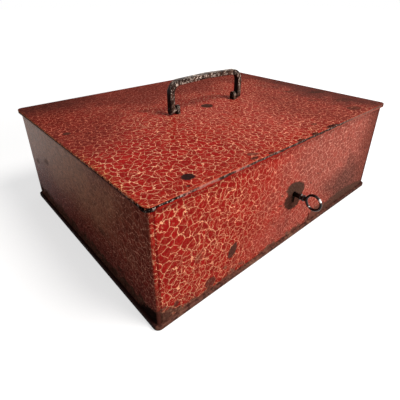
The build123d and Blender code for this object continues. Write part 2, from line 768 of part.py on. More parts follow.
# Bow spring between the cover's top and the bolt
spring_low = bolt_top + spring_touch
with BuildPart() as bolt_spring:
    with BuildSketch(front_plane(bolt_y + spring_width / 2)):
        with BuildLine():
            ThreePointArc(
                (spring_centre - spring_half, spring_low + spring_rise),
                (spring_centre, spring_low),
                (spring_centre + spring_half, spring_low + spring_rise),
            )
            Line(
                (spring_centre + spring_half, spring_low + spring_rise),
                (spring_centre + spring_half, spring_low + spring_rise + spring_t),
            )
            ThreePointArc(
                (spring_centre + spring_half, spring_low + spring_rise + spring_t),
                (spring_centre, spring_low + spring_t),
                (spring_centre - spring_half, spring_low + spring_rise + spring_t),
            )
            Line(
                (spring_centre - spring_half, spring_low + spring_rise + spring_t),
                (spring_centre - spring_half, spring_low + spring_rise),
            )
        make_face()
    extrude(amount=spring_width)
bolt_spring.part.label = "bolt_spring"
export_step(bolt_spring.part, "parts/bolt_spring.step")


# Ring ward on the cover, round the lock axis
with BuildPart() as ward_ring:
    with BuildSketch(front_plane(cover_inner)):
        with Locations((0, key_height)):
            Circle(ward_r + ward_t)
            Circle(ward_r, mode=Mode.SUBTRACT)
    extrude(amount=ward_height)
ward_ring.part.label = "ward_ring"
export_step(ward_ring.part, "parts/ward_ring.step")


# Drill pin: carried in the cover between a collar and a head, it enters the key's pipe
lock_axis = Axis((0, 0, key_height), (0, 1, 0))
pin_collar_y = cover_inner - drill_pin_play
with BuildPart() as drill_pin:
    with BuildSketch(Plane.YZ):
        with BuildLine():
            Polyline(
                (pin_collar_y - drill_pin_collar - drill_pin_reach, key_height),
                (pin_collar_y - drill_pin_collar - drill_pin_reach, key_height + drill_pin_r / 2),
                (pin_collar_y - drill_pin_collar - drill_pin_reach + drill_pin_r, key_height + drill_pin_r),
                (pin_collar_y - drill_pin_collar, key_height + drill_pin_r),
                (pin_collar_y - drill_pin_collar, key_height + drill_pin_collar_r),
                (pin_collar_y, key_height + drill_pin_collar_r),
                (pin_collar_y, key_height + drill_pin_r),
                (cover_outer + drill_pin_play, key_height + drill_pin_r),
                (cover_outer + drill_pin_play, key_height + drill_pin_collar_r),
                (cover_outer + drill_pin_play + drill_pin_collar, key_height + drill_pin_collar_r),
                (cover_outer + drill_pin_play + drill_pin_collar, key_height),
                close=True,
            )
        make_face()
    revolve(axis=lock_axis)
drill_pin.part.label = "drill_pin"
export_step(drill_pin.part, "parts/drill_pin.step")


# Key: ring bow, two collars, piped shank and a bit slotted for the ward
key_end = pin_collar_y - drill_pin_collar - cover_clear
bow_y = -half_y - key_stand
collar_y = -half_y - collar_stand
with BuildPart() as key:
    with BuildSketch(Plane.YZ):
        with BuildLine():
            Polyline(
                (bow_y + bow_r, key_height),
                (bow_y + bow_r, key_height + shank_r),
                (collar_y - 2 * collar_length - collar_gap, key_height + shank_r),
                (collar_y - 2 * collar_length - collar_gap, key_height + collar_r),
                (collar_y - collar_length - collar_gap, key_height + collar_r),
                (collar_y - collar_length - collar_gap, key_height + shank_r),
                (collar_y - collar_length, key_height + shank_r),
                (collar_y - collar_length, key_height + collar_r),
                (collar_y, key_height + collar_r),
                (collar_y, key_height + shank_r),
                (key_end, key_height + shank_r),
                (key_end, key_height),
                close=True,
            )
        make_face()
    revolve(axis=lock_axis)
    fillet(
        key.edges().filter_by(GeomType.CIRCLE).filter_by(lambda edge: edge.radius > shank_r + pipe_play),
        radius=collar_length / 3,
    )
    with Locations(Location((0, bow_y, key_height), (0, 90, 0))):
        Torus(bow_r, bow_wire_r)
    with BuildSketch(front_plane(key_end)):
        with Locations((0, key_height - shank_r / 2)):
            Rectangle(bit_t, bit_r - shank_r / 2, align=(Align.CENTER, Align.MAX))
    extrude(amount=bit_length)
    with BuildSketch(front_plane(key_end)):
        with Locations((0, key_height)):
            Circle(ward_r + ward_t + ward_clear)
            Circle(ward_r - ward_clear, mode=Mode.SUBTRACT)
    extrude(amount=key_end - cover_inner + ward_height + ward_clear, mode=Mode.SUBTRACT)
    with BuildSketch(front_plane(key_end)):
        with Locations((0, key_height)):
            Circle(drill_pin_r + pipe_play)
    extrude(amount=pipe_depth, mode=Mode.SUBTRACT)
key.part.label = "key"
export_step(key.part, "parts/key.step")
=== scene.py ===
import math

import bmesh
import bpy
from mathutils import Matrix, Vector

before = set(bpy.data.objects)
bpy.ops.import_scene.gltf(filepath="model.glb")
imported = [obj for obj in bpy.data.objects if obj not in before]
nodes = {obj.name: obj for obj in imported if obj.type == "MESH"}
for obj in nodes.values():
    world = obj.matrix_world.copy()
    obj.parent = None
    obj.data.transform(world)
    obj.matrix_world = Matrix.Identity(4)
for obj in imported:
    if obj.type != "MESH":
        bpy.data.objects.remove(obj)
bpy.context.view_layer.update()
print("frame loaded with", len(nodes), "nodes")


# short ways to write shader nodes
class NodeWeb:
    def __init__(self, tree):
        self.tree = tree

    def add(self, kind, **settings):
        node = self.tree.nodes.new("ShaderNode" + kind)
        for key, value in settings.items():
            setattr(node, key, value)
        return node

    def feed(self, socket, value):
        if isinstance(value, bpy.types.NodeSocket):
            self.tree.links.new(value, socket)
        elif value is not None:
            if socket.type == "RGBA" and len(value) == 3:
                value = (*value, 1.0)
            socket.default_value = value

    def feedInOrder(self, node, *values):
        for socket, value in zip(node.inputs, values):
            self.feed(socket, value)
        return node.outputs[0]

    def calc(self, operation, a, b=None, c=None):
        return self.feedInOrder(self.add("Math", operation=operation), a, b, c)

    def chain(self, operation, values):
        result = values[0]
        for value in values[1:]:
            result = self.calc(operation, result, value)
        return result

    def highest(self, *values):
        return self.chain("MAXIMUM", values)

    def times(self, *values):
        return self.chain("MULTIPLY", values)

    def plus(self, a, b):
        return self.calc("ADD", a, b)

    def minus(self, a, b):
        return self.calc("SUBTRACT", a, b)

    def above(self, value, limit):
        return self.calc("GREATER_THAN", value, limit)

    def under(self, value, limit):
        return self.calc("LESS_THAN", value, limit)

    def rest(self, value):
        return self.minus(1.0, value)

    def size(self, value):
        return self.calc("ABSOLUTE", value)

    def vector(self, operation, a, b=None):
        node = self.add("VectorMath", operation=operation)
        self.feed(node.inputs[0], a)
        if operation == "SCALE":
            self.feed(node.inputs["Scale"], b)
        else:
            self.feed(node.inputs[1], b)
        return node.outputs["Value" if operation == "LENGTH" else "Vector"]

    def split(self, vector):
        node = self.add("SeparateXYZ")
        self.feed(node.inputs[0], vector)
        return node.outputs

    def join(self, x, y, z=0.0):
        return self.feedInOrder(self.add("CombineXYZ"), x, y, z)

    def ramp(self, value, low, high, start=0.0, end=1.0):
        node = self.add("MapRange", interpolation_type="SMOOTHSTEP")
        return self.feedInOrder(node, value, low, high, start, end)

    def steps(self, value, span, stops):
        # a value read off a line of stops between low and high
        low, high = span
        node = self.add("ValToRGB")
        points = node.color_ramp.elements
        while len(points) < len(stops):
            points.new(0.5)
        for point, (place, level) in zip(points, stops):
            point.position = (place - low) / (high - low)
            point.color = (level, level, level, 1.0)
        self.feed(node.inputs[0], self.feedInOrder(self.add("MapRange"), value, low, high, 0.0, 1.0))
        return node.outputs[0]

    def blend(self, factor, first, second):
        node = self.add("Mix", data_type="RGBA")
        self.feed(node.inputs[0], factor)
        self.feed(node.inputs[6], first)
        self.feed(node.inputs[7], second)
        return node.outputs[2]

    def between(self, factor, first, second):
        # a plain vector between two
        node = self.add("Mix", data_type="VECTOR")
        self.feed(node.inputs[0], factor)
        self.feed(node.inputs[4], first)
        self.feed(node.inputs[5], second)
        return node.outputs[1]

    def tint(self, colour, level):
        return self.vector("SCALE", colour, level)

    def fill(self, node, values):
        for key, value in values.items():
            self.feed(node.inputs[key], value)

    def noise(self, vector, scale, detail=2.0, roughness=0.5, colour=False):
        node = self.add("TexNoise", noise_dimensions="3D")
        self.fill(node, {"Vector": vector, "Scale": scale, "Detail": detail, "Roughness": roughness})
        return node.outputs[1 if colour else 0]

    def vary(self, vector, scale, detail, roughness, low, high, least=0.0, most=1.0):
        # noise between low and high, stretched from least to most
        return self.ramp(self.noise(vector, scale, detail, roughness), low, high, least, most)

    def cells(self, vector, scale, feature, output):
        node = self.add("TexVoronoi", feature=feature, voronoi_dimensions="2D")
        self.fill(node, {"Vector": vector, "Scale": scale})
        return node.outputs[output]

    def use(self, name, **inputs):
        node = self.add("Group", node_tree=bpy.data.node_groups[name])
        self.fill(node, inputs)
        return node.outputs

    def patch(self, flat, centre, reach, turn, rag, grain, soft):
        return self.use("patch", Vector=flat, Centre=(*centre, 0.0), Reach=(*reach, 1.0), Turn=turn, Rag=rag,
                        Grain=grain, Soft=soft)["Mask"]

    def cloud(self, vector, size, level, soft):
        return self.use("cloud", Vector=vector, Size=size, Level=level, Soft=soft)["Mask"]

    def edgeWear(self, vector, distance, width, rag):
        return self.use("edgeWear", Vector=vector, Distance=distance, Width=width, Rag=rag)["Mask"]

    def bump(self, shader, height, strength, depth):
        node = self.add("Bump")
        self.fill(node, {"Strength": strength, "Distance": depth, "Height": height})
        self.feed(shader.inputs["Normal"], node.outputs[0])


vectorSockets = ("Vector", "Centre", "Reach", "Far", "Flat", "Place", "Spread")


def newGroup(name, inputs, outputs):
    tree = bpy.data.node_groups.new(name, "ShaderNodeTree")
    for direction, keys in (("INPUT", inputs), ("OUTPUT", outputs)):
        for key in keys:
            kind = "NodeSocketVector" if key in vectorSockets else "NodeSocketFloat"
            tree.interface.new_socket(name=key, in_out=direction, socket_type=kind)
    start, end = (tree.nodes.new("NodeGroup" + kind) for kind in ("Input", "Output"))
    return NodeWeb(tree), start.outputs, end.inputs


def newMaterial(name):
    material = bpy.data.materials.new(name)
    material.use_nodes = True
    return material, NodeWeb(material.node_tree), material.node_tree.nodes["Principled BSDF"]


def shade(red, green, blue):
    # screen values from 0 to 255, as the linear colour that a shader takes
    levels = (value / 255.0 for value in (red, green, blue))
    return tuple(v / 12.92 if v <= 0.04045 else ((v + 0.055) / 1.055) ** 2.4 for v in levels)


faceValues = {
    "facing": 0.7, "lit": (0.25, 0.75),  # how far a surface faces one way, and how far it faces the front or the sky, where the lamps stand: painted light
    "shiftSide": 0.53, "shiftTop": 0.31,  # so that no two faces share a pattern
}


def makeFaceSpace():
    # flat coordinates on each side of a box-like piece, by the way its surface faces
    values = faceValues
    web, start, end = newGroup("faceSpace", (), ("Flat", "Place", "Lit"))
    place = web.add("TexCoord")
    x, y, z = web.split(place.outputs["Object"])
    facing = web.split(place.outputs["Normal"])
    side, top = (web.above(web.size(facing[axis]), values["facing"]) for axis in (0, 2))
    across = web.plus(web.times(x, web.rest(side)), web.times(web.plus(y, values["shiftSide"]), side))
    along = web.plus(web.times(z, web.rest(top)), web.times(web.plus(y, values["shiftTop"]), top))
    web.feed(end["Flat"], web.join(across, along))
    web.feed(end["Place"], place.outputs["Object"])
    # Lit: faces towards the lamps, at the front and above, which the handle paints lighter: painted light
    forward = web.times(facing[1], -1.0)
    web.feed(end["Lit"], web.ramp(web.highest(forward, facing[2]), *values["lit"]))


def makeSpread():
    # stretches a flat pattern evenly, so its cells grow with the distance from a far point
    web, start, end = newGroup("spread", ("Vector", "Far", "Distance"), ("Spread",))
    distance = start["Distance"]
    x, y = web.split(web.vector("SUBTRACT", start["Far"], start["Vector"]))[:2]
    length = web.vector("LENGTH", web.join(x, y))
    grown = web.calc("LOGARITHM", web.calc("DIVIDE", length, distance), math.e)
    angle = web.calc("ARCTAN2", y, x)
    web.feed(end["Spread"], web.join(web.times(grown, distance), web.times(angle, distance)))


crackleValues = {
    "jags": [(0.8, 1.0), (2.2, 0.5), (5.0, 0.24)],  # bends in each cell, and their share of the wobble
    "swell": 1.4, "swelling": (0.3, 0.7, 0.28, 0.66),  # swellings in each cell, and levels to half widths
    "gap": (1.1, 0.08), "gapShift": (0.7, 0.2, 0.4),  # gaps in each cell, and how softly the cracks end there
    "hair": 0.00001,  # added to each half width
    "core": (1.15, 0.5), "halo": 2.6,  # in half widths
}


def makeCrackle():
    # a web of cracks whose jagged lines swell, thin out and stop
    values = crackleValues
    web, start, end = newGroup(
        "crackle", ("Vector", "Cell", "Width", "Wobble", "Breaks"), ("Crack", "Halo", "Tone")
    )
    cell, flat = start["Cell"], start["Vector"]
    warped = flat
    for bends, share in values["jags"]:
        drift = web.noise(flat, web.calc("DIVIDE", bends, cell), 0.0, colour=True)
        push = web.times(start["Wobble"], web.times(cell, share))
        bend = web.vector("SCALE", web.vector("SUBTRACT", drift, (0.5, 0.5, 0.5)), push)
        warped = web.vector("ADD", warped, bend)
    scale = web.calc("DIVIDE", 1.0, cell)
    edge = web.times(web.cells(warped, scale, "DISTANCE_TO_EDGE", "Distance"), cell)
    tone = web.split(web.cells(warped, scale, "F1", "Color"))[0]
    swell = web.noise(flat, web.calc("DIVIDE", values["swell"], cell))
    gaps, soft = values["gap"]
    gap = web.noise(web.vector("ADD", flat, values["gapShift"]), web.calc("DIVIDE", gaps, cell), 1.0)
    kept = web.ramp(gap, web.minus(start["Breaks"], soft), web.plus(start["Breaks"], soft))
    half = web.times(start["Width"], web.ramp(swell, *values["swelling"]), kept)
    half = web.plus(half, values["hair"])
    outer, inner = values["core"]
    web.feed(end["Crack"], web.times(web.ramp(edge, web.times(half, outer), web.times(half, inner)), kept))
    web.feed(end["Halo"], web.times(web.ramp(edge, web.times(half, values["halo"]), 0.0), kept))
    web.feed(end["Tone"], tone)


def makePatch():
    # one place with a ragged outline, hard or soft, at a point of the flat coordinates
    inputs = ("Vector", "Centre", "Reach", "Turn", "Rag", "Grain", "Soft")
    web, start, end = newGroup("patch", inputs, ("Mask",))
    turn = web.add("VectorRotate", rotation_type="Z_AXIS")
    web.feed(turn.inputs["Vector"], web.vector("SUBTRACT", start["Vector"], start["Centre"]))
    web.feed(turn.inputs["Angle"], start["Turn"])
    x, y = web.split(web.vector("DIVIDE", turn.outputs[0], start["Reach"]))[:2]
    distance = web.vector("LENGTH", web.join(x, y))
    rag = web.minus(web.noise(start["Vector"], start["Grain"], 4.0, 0.6), 0.5)
    ragged = web.plus(distance, web.times(rag, start["Rag"]))
    web.feed(end["Mask"], web.ramp(ragged, web.plus(1.0, start["Soft"]), web.minus(1.0, start["Soft"])))


def makeCloud():
    # scattered clouds, flecks or specks, by their size
    web, start, end = newGroup("cloud", ("Vector", "Size", "Level", "Soft"), ("Mask",))
    cloud = web.noise(start["Vector"], web.calc("DIVIDE", 1.0, start["Size"]), 4.0, 0.6)
    low = web.minus(start["Level"], start["Soft"])
    high = web.plus(start["Level"], start["Soft"])
    web.feed(end["Mask"], web.ramp(cloud, low, high))


wearValues = {"grain": (330.0, 5.0, 0.7), "fade": (1.1, 0.7)}  # fade: shares of the reach


def makeEdgeWear():
    # finish rubbed off within a ragged distance of an edge
    web, start, end = newGroup("edgeWear", ("Vector", "Distance", "Width", "Rag"), ("Mask",))
    rag = web.minus(web.noise(start["Vector"], *wearValues["grain"]), 0.5)
    reach = web.times(start["Width"], web.plus(1.0, web.times(rag, start["Rag"])))
    outer, inner = (web.times(reach, share) for share in wearValues["fade"])
    web.feed(end["Mask"], web.ramp(start["Distance"], outer, inner))


makeFaceSpace()
makeSpread()
makeCrackle()
makePatch()
makeCloud()
makeEdgeWear()
print("shared effects ready")


# red paint, its dirt, the steel below it and the enamel inside, with the painted shade, shadow, glints and
# highlight among them
colours = {
    "bareSteel": shade(72, 45, 38),
    "footBrown": shade(98, 62, 51),
    "footDark": shade(74, 54, 45),
    "keyholePale": shade(78, 54, 45),
    "keyholeSteel": shade(72, 44, 36),
    # dark rims beside the cracks: dirt with a painted shade
    "crackDirtAndShade": shade(66, 26, 16),
    "dirt": shade(58, 42, 34),
    "blackEdge": shade(24, 17, 16),
    "spotBlack": shade(50, 31, 29),
    # painted glints on the rubbed steel near the lid's front corner
    "edgeGlint": shade(214, 190, 178),
    "hemSteel": shade(86, 61, 55),
    # the lid's top edge: rubbed paint with a painted highlight
    "edgeOrange": shade(206, 100, 62),
    "seamBrown": shade(88, 46, 38),
    "keyShadowDark": shade(70, 20, 17),
    # the key's painted shadow on the front
    "footFleck": shade(138, 102, 82),
    "enamel": shade(86, 34, 30),
    "enamelWorn": shade(60, 28, 25),
    "enamelScratch": shade(128, 84, 74),
}

# zones: centre, reach, turn, softness, cell colour, line colour
# spots: centre, reach, turn, raggedness, strength, colour name
lidValues = {
    "far": (0.75, 0.65), "distance": 0.99,
    "cell": 0.0048, "width": 0.00034, "wobble": 0.85, "second": 0.48, "third": 0.2, "breaks": 0.33, "grain": 0.16,
    "mottle": 0.1,
    "calm": ((-0.1, -0.062), (0.06, 0.04), 0.3), "grimeAndShade": ((-0.095, -0.01), (0.06, 0.055), 0.3),
    "coarse": (-0.09, 0.05, 1.45, 0.45),  # from x to x: cracks so much wider, small ones so much fewer
    "cells": (144, 36, 28), "lines": (235, 156, 123),
    "zones": [
        ((0.0, -0.04), (0.085, 0.055), 0.2, 0.5, (148, 42, 34), (238, 152, 122)),
        ((-0.14, -0.08), (0.105, 0.11), 0.25, 0.45, (147, 19, 17), (249, 178, 138)),
        ((-0.03, -0.116), (0.15, 0.01), 0.0, 0.5, (146, 28, 21), (232, 152, 116)),
        ((-0.15, -0.05), (0.005, 0.06), 0.0, 0.7, (142, 30, 19), (238, 172, 116)),
        ((0.082, -0.07), (0.046, 0.08), 0.1, 0.5, (121, 38, 29), (204, 117, 91)),
        ((-0.02, 0.13), (0.24, 0.088), 0.0, 0.4, (108, 39, 30), (176, 98, 82)),
        ((-0.15, 0.118), (0.08, 0.046), -0.3, 0.5, (78, 31, 25), (124, 66, 52)),
        ((0.168, -0.05), (0.056, 0.16), 0.0, 0.42, (84, 35, 27), (122, 62, 49)),
        ((-0.148, 0.024), (0.06, 0.056), 0.3, 0.5, (110, 28, 20), (214, 116, 90)),
    ],
    "spots": [
        ((-0.1102, -0.1036), (0.0046, 0.004), 0.3, 0.8, 1.0, "spotBlack"),
        ((0.0, -0.0002), (0.0064, 0.0062), 0.0, 0.35, 1.0, "bareSteel"),
        ((-0.1388, 0.0178), (0.0033, 0.003), 0.0, 0.6, 0.85, "keyholeSteel"),
        ((-0.059, 0.027), (0.0062, 0.0042), 0.6, 1.4, 0.45, "bareSteel"),
        ((0.107, -0.1035), (0.0085, 0.0055), 0.2, 1.2, 0.55, "dirt"),
        ((0.034, -0.103), (0.0034, 0.002), 0.2, 1.4, 0.55, "dirt"),
        ((-0.0545, -0.1082), (0.0046, 0.0022), 0.5, 1.6, 0.7, "footBrown"),
        ((-0.0585, -0.1135), (0.0038, 0.0018), 0.0, 1.6, 0.8, "dirt"),
        ((-0.1175, -0.1125), (0.0016, 0.0012), 0.0, 1.6, 0.8, "spotBlack"),
        ((-0.042, -0.1163), (0.004, 0.0014), 0.1, 1.6, 0.85, "blackEdge"),
        ((-0.006, -0.1162), (0.0048, 0.0016), 0.1, 1.6, 0.9, "blackEdge"),
        ((0.015, -0.116), (0.0044, 0.0018), 0.1, 1.6, 0.9, "blackEdge"),
        ((0.043, -0.1158), (0.0075, 0.0022), 0.1, 1.6, 0.9, "blackEdge"),
        ((0.135, -0.045), (0.012, 0.005), 0.5, 1.8, 0.5, "dirt"),
        ((0.127, -0.082), (0.01, 0.006), 0.6, 1.8, 0.4, "dirt"),
        ((0.11, -0.022), (0.009, 0.0028), 0.8, 1.6, 0.45, "dirt"),
        ((0.1, -0.061), (0.007, 0.003), 0.8, 1.8, 0.4, "dirt"),
    ],
    "dirt": 0.45, "coat": [(-0.02, 0.06), (0.09, 0.02)],
    "clouds": (0.03, 0.64, 0.1), "cloudsAcross": [(-0.15, 0.15), (0.06, 0.25), (0.15, 1.0)],
    "specks": (0.0022, 0.79, 0.02), "speckShare": 0.8,
}

frontValues = {
    "far": (0.2, -0.25), "distance": 0.36,
    "cell": 0.005, "width": 0.00038, "wobble": 0.85, "second": 0.66, "third": 0.26, "breaks": 0.31, "grain": 0.16,
    "mottle": 0.1, "calm": ((-0.132, 0.064), (0.02, 0.018), 0.2), "grimeAndShade": ((0.032, 0.052), (0.03, 0.014), -0.2),
    "coarse": (-0.06, 0.06, 1.7, 0.25),
    "cells": (147, 32, 24), "lines": (221, 130, 101),
    "zones": [
        ((-0.05, 0.07), (0.05, 0.036), 0.3, 0.5, (150, 30, 23), (230, 142, 114)),
        ((-0.14, 0.062), (0.09, 0.08), 0.2, 0.45, (144, 19, 16), (236, 168, 126)),
        # paler and pinker towards the right: faded paint with a painted sheen in it
        ((0.105, 0.078), (0.12, 0.062), -0.1, 0.4, (149, 69, 57), (204, 130, 112)),
        ((0.13, 0.01), (0.076, 0.034), 0.16, 0.38, (94, 51, 42), (146, 88, 73)),
        ((0.158, 0.055), (0.042, 0.09), 0.0, 0.5, (108, 49, 38), (156, 85, 69)),
        ((0.008, 0.012), (0.062, 0.02), 0.12, 0.5, (144, 54, 43), (206, 124, 104)),
    ],
    "spots": [
        ((-0.0762, 0.0276), (0.0041, 0.007), 0.5, 0.9, 0.95, "bareSteel"),
        ((-0.0991, 0.0101), (0.0056, 0.0048), 0.3, 1.1, 0.8, "bareSteel"),
        ((-0.1315, 0.012), (0.0022, 0.0026), 0.3, 1.2, 0.7, "bareSteel"),
        ((-0.0837, 0.015), (0.0026, 0.0016), 0.3, 1.4, 0.55, "dirt"),
        ((-0.1112, 0.0407), (0.0034, 0.004), 0.3, 1.6, 0.35, "bareSteel"),
        ((-0.144, 0.005), (0.01, 0.0065), 0.4, 1.1, 0.75, "bareSteel"),
        ((0.0018, 0.0518), (0.0146, 0.007), 0.31, 0.6, 1.0, "keyholePale"),
        ((-0.0015, 0.0405), (0.0128, 0.008), 0.42, 0.6, 1.0, "keyholeSteel"),
        ((0.0062, 0.045), (0.0078, 0.008), 0.0, 0.4, 1.0, "keyholePale"),
        ((-0.018, 0.0526), (0.0022, 0.001), 0.4, 1.6, 0.6, "dirt"),
        ((-0.0187, 0.043), (0.003, 0.0009), 0.4, 1.6, 0.55, "dirt"),
        ((0.0356, 0.0554), (0.0028, 0.0009), 0.5, 1.8, 0.6, "seamBrown"),
        ((0.0256, 0.0489), (0.0026, 0.0009), 0.5, 1.8, 0.6, "seamBrown"),
        ((0.048, 0.0035), (0.02, 0.011), 0.0, 0.8, 0.9, "footBrown"),
        ((0.105, 0.004), (0.048, 0.0095), 0.06, 0.9, 0.8, "footDark"),
        # a thin dark stroke below the key: the key's painted shadow
        ((0.0325, 0.008), (0.0011, 0.007), -0.1, 0.5, 0.95, "keyShadowDark"),
    ],
    "dirt": 0.3, "foot": 1.0, "specks": 0.79, "coat": [(0.0, 0.07)],
}

leftValues = {
    "far": (0.5, 0.05), "distance": 0.5,
    "cell": 0.0042, "width": 0.00037, "wobble": 0.95, "second": 0.6, "third": 0.4, "breaks": 0.36, "grain": 0.3,
    "mottle": 0.24, "calm": ((-0.1, 0.08), (0.02, 0.02), 0.0), "grimeAndShade": ((0.06, 0.045), (0.05, 0.03), 0.0),
    "coarse": (0.0, 0.1, 1.0, 1.0),
    "cells": (118, 48, 38), "lines": (208, 134, 114),
    "zones": [
        ((-0.112, 0.06), (0.05, 0.07), 0.0, 0.5, (122, 41, 33), (232, 154, 130)),
        # paler towards the top back: a dusty haze with a painted sheen in it
        ((0.1, 0.102), (0.17, 0.048), -0.15, 0.45, (174, 117, 90), (204, 146, 118)),
        ((0.0, -0.004), (0.26, 0.032), 0.0, 0.5, (114, 50, 43), (182, 112, 96)),
    ],
    "spots": [
        ((-0.113, 0.002), (0.024, 0.0135), 0.3, 0.9, 0.9, "blackEdge"),
        ((0.095, 0.05), (0.005, 0.003), 0.3, 1.5, 0.5, "dirt"),
        ((0.065, 0.06), (0.007, 0.003), 0.3, 1.5, 0.45, "dirt"),
        ((-0.045, 0.042), (0.005, 0.003), 0.0, 1.5, 0.4, "dirt"),
        ((-0.066, 0.02), (0.004, 0.0025), 0.2, 1.5, 0.6, "dirt"),
    ],
    "dirt": 0.4, "foot": 0.62, "specks": 0.66, "coat": [(0.02, 0.004), (0.155, 0.38)],
}

plainValues = {
    "far": (0.2, -0.25), "distance": 0.36,
    "cell": 0.0052, "width": 0.00046, "wobble": 0.95, "second": 0.85, "third": 0.35, "breaks": 0.32, "grain": 0.18,
    "mottle": 0.14, "calm": ((-0.08, 0.07), (0.06, 0.03), 0.0), "grimeAndShade": ((0.02, 0.04), (0.06, 0.02), 0.2),
    "coarse": (0.0, 0.1, 1.3, 0.8),
    "cells": (134, 38, 29), "lines": (196, 110, 88),
    "zones": [
        ((-0.09, 0.075), (0.08, 0.05), 0.2, 0.45, (146, 30, 23), (230, 156, 120)),
        ((0.12, 0.06), (0.06, 0.06), 0.0, 0.45, (112, 48, 39), (162, 96, 78)),
        ((0.0, 0.0), (0.3, 0.03), 0.0, 0.5, (92, 44, 36), (136, 84, 68)),
    ],
    "spots": [
        ((0.042, 0.03), (0.0048, 0.0036), 0.3, 0.9, 0.8, "bareSteel"),
        ((-0.062, 0.016), (0.006, 0.0042), 0.3, 1.2, 0.7, "bareSteel"),
        ((0.085, 0.08), (0.0026, 0.002), 0.0, 1.2, 0.7, "dirt"),
        ((-0.015, 0.07), (0.0022, 0.0016), 0.0, 1.4, 0.6, "dirt"),
    ],
    "dirt": 0.5, "foot": 0.9, "specks": 0.76, "coat": [(0.0, 0.12)],
}

paintValues = {
    # the two smaller sizes of crack, with their shares of the first one's cell and width
    "second": {"shift": (0.31, 0.17, 0.0), "cell": 0.62, "width": 0.72, "breaks": 0.46},
    "third": {"shift": (0.57, 0.43, 0.0), "cell": 0.36, "width": 0.42, "breaks": 0.48},
    "secondColour": 0.9, "secondDepth": 0.8, "thirdColour": 0.5,
    # raggedness, grain and softness of an outline
    "zone": (1.1, 28.0), "calm": (1.0, 28.0, 0.4), "grimyAndShaded": (1.2, 60.0, 0.4),
    "calmed": 0.7,  # how many of the second cracks go in the calm place
    "tone": (0.86, 1.1),  # of the darkest and the palest cell
    # noises: scale, detail, roughness, two levels, and what they are stretched from and to
    "grain": (800.0, 4.0, 0.7, 0.3, 0.7),
    "mottle": (210.0, 4.0, 0.65, 0.32, 0.68),
    "grimeAndShade": (130.0, 2.0, 0.5, 0.44, 0.6, 0.1, 0.6),
    "thickGrimeAndShade": (260.0, 2.0, 0.5, 0.42, 0.56, 0.0, 0.9),
    "lineMottle": (210.0, 2.0, 0.5, 0.3, 0.7, 0.86, 1.12),
}


def spreadCells(web, flat, values):
    return web.use("spread", Vector=flat, Far=(*values["far"], 0.0), Distance=values["distance"])["Spread"]


def smallCracks(web, spread, width, values, size):
    return web.use("crackle", Vector=web.vector("ADD", spread, size["shift"]), Cell=values["cell"] * size["cell"],
                   Width=web.times(width, size["width"]), Wobble=values["wobble"], Breaks=size["breaks"])


def crackledPaint(web, flat, place, values, strips=()):
    # cell and line colours drift through the zones, and three sizes of crack divide the cells
    shared = paintValues
    cells, lines = shade(*values["cells"]), shade(*values["lines"])
    for centre, reach, turn, soft, cellColour, lineColour in values["zones"]:
        zone = web.patch(flat, centre, reach, turn, *shared["zone"], soft)
        cells = web.blend(zone, cells, shade(*cellColour))
        lines = web.blend(zone, lines, shade(*lineColour))
    spread = spreadCells(web, flat, values)
    for mask, stripFlat, strip in strips:
        cells = web.blend(mask, cells, shade(*strip["cells"]))
        lines = web.blend(mask, lines, shade(*strip["lines"]))
        spread = web.between(mask, spread, spreadCells(web, stripFlat, strip["paint"]))

    across = web.split(flat)[0]
    start, end, wider, fewer = values["coarse"]
    width = web.ramp(across, start, end, values["width"], values["width"] * wider)
    first = web.use("crackle", Vector=spread, Cell=values["cell"], Width=width, Wobble=values["wobble"],
                    Breaks=values["breaks"])
    second = smallCracks(web, spread, width, values, shared["second"])
    third = smallCracks(web, spread, width, values, shared["third"])
    calm = web.patch(flat, *values["calm"], *shared["calm"])
    divided = web.times(web.rest(web.times(calm, shared["calmed"])),
                        web.ramp(across, start, end, values["second"], values["second"] * fewer))
    thirdShare = values["third"] * shared["thirdColour"]
    fine = web.ramp(across, start, end, thirdShare, thirdShare * fewer)

    grain = web.vary(place, *shared["grain"], 1.0 - values["grain"], 1.0 + values["grain"])
    mottle = web.vary(place, *shared["mottle"], 1.0 - values["mottle"], 1.0 + values["mottle"])
    tone = web.ramp(first["Tone"], 0.0, 1.0, *shared["tone"])
    colour = web.tint(cells, web.times(tone, grain, mottle))
    # dark rims beside the cracks: dirt with a painted shade along their edges, thicker in one place of each side
    grimyAndShaded = web.patch(flat, *values["grimeAndShade"], *shared["grimyAndShaded"])
    thickGrimeAndShade = web.times(grimyAndShaded, web.vary(place, *shared["thickGrimeAndShade"]))
    grimeAndShade = web.highest(web.vary(place, *shared["grimeAndShade"]), thickGrimeAndShade)
    colour = web.blend(web.times(first["Halo"], grimeAndShade), colour, colours["crackDirtAndShade"])
    colour = web.blend(web.times(third["Crack"], fine), colour, lines)
    colour = web.blend(web.times(second["Crack"], divided, shared["secondColour"]), colour, lines)
    colour = web.blend(first["Crack"], colour, web.tint(lines, web.vary(place, *shared["lineMottle"])))
    crack = web.highest(first["Crack"], web.times(second["Crack"], divided, shared["secondDepth"]))
    return colour, crack


spotValues = {
    "grain": 430.0, "soft": 0.11,
    "mottle": (560.0, 4.0, 0.7, 0.34, 0.66),
    "darker": -0.34, "lighter": 0.36,  # how far the mottle goes on a spot
}


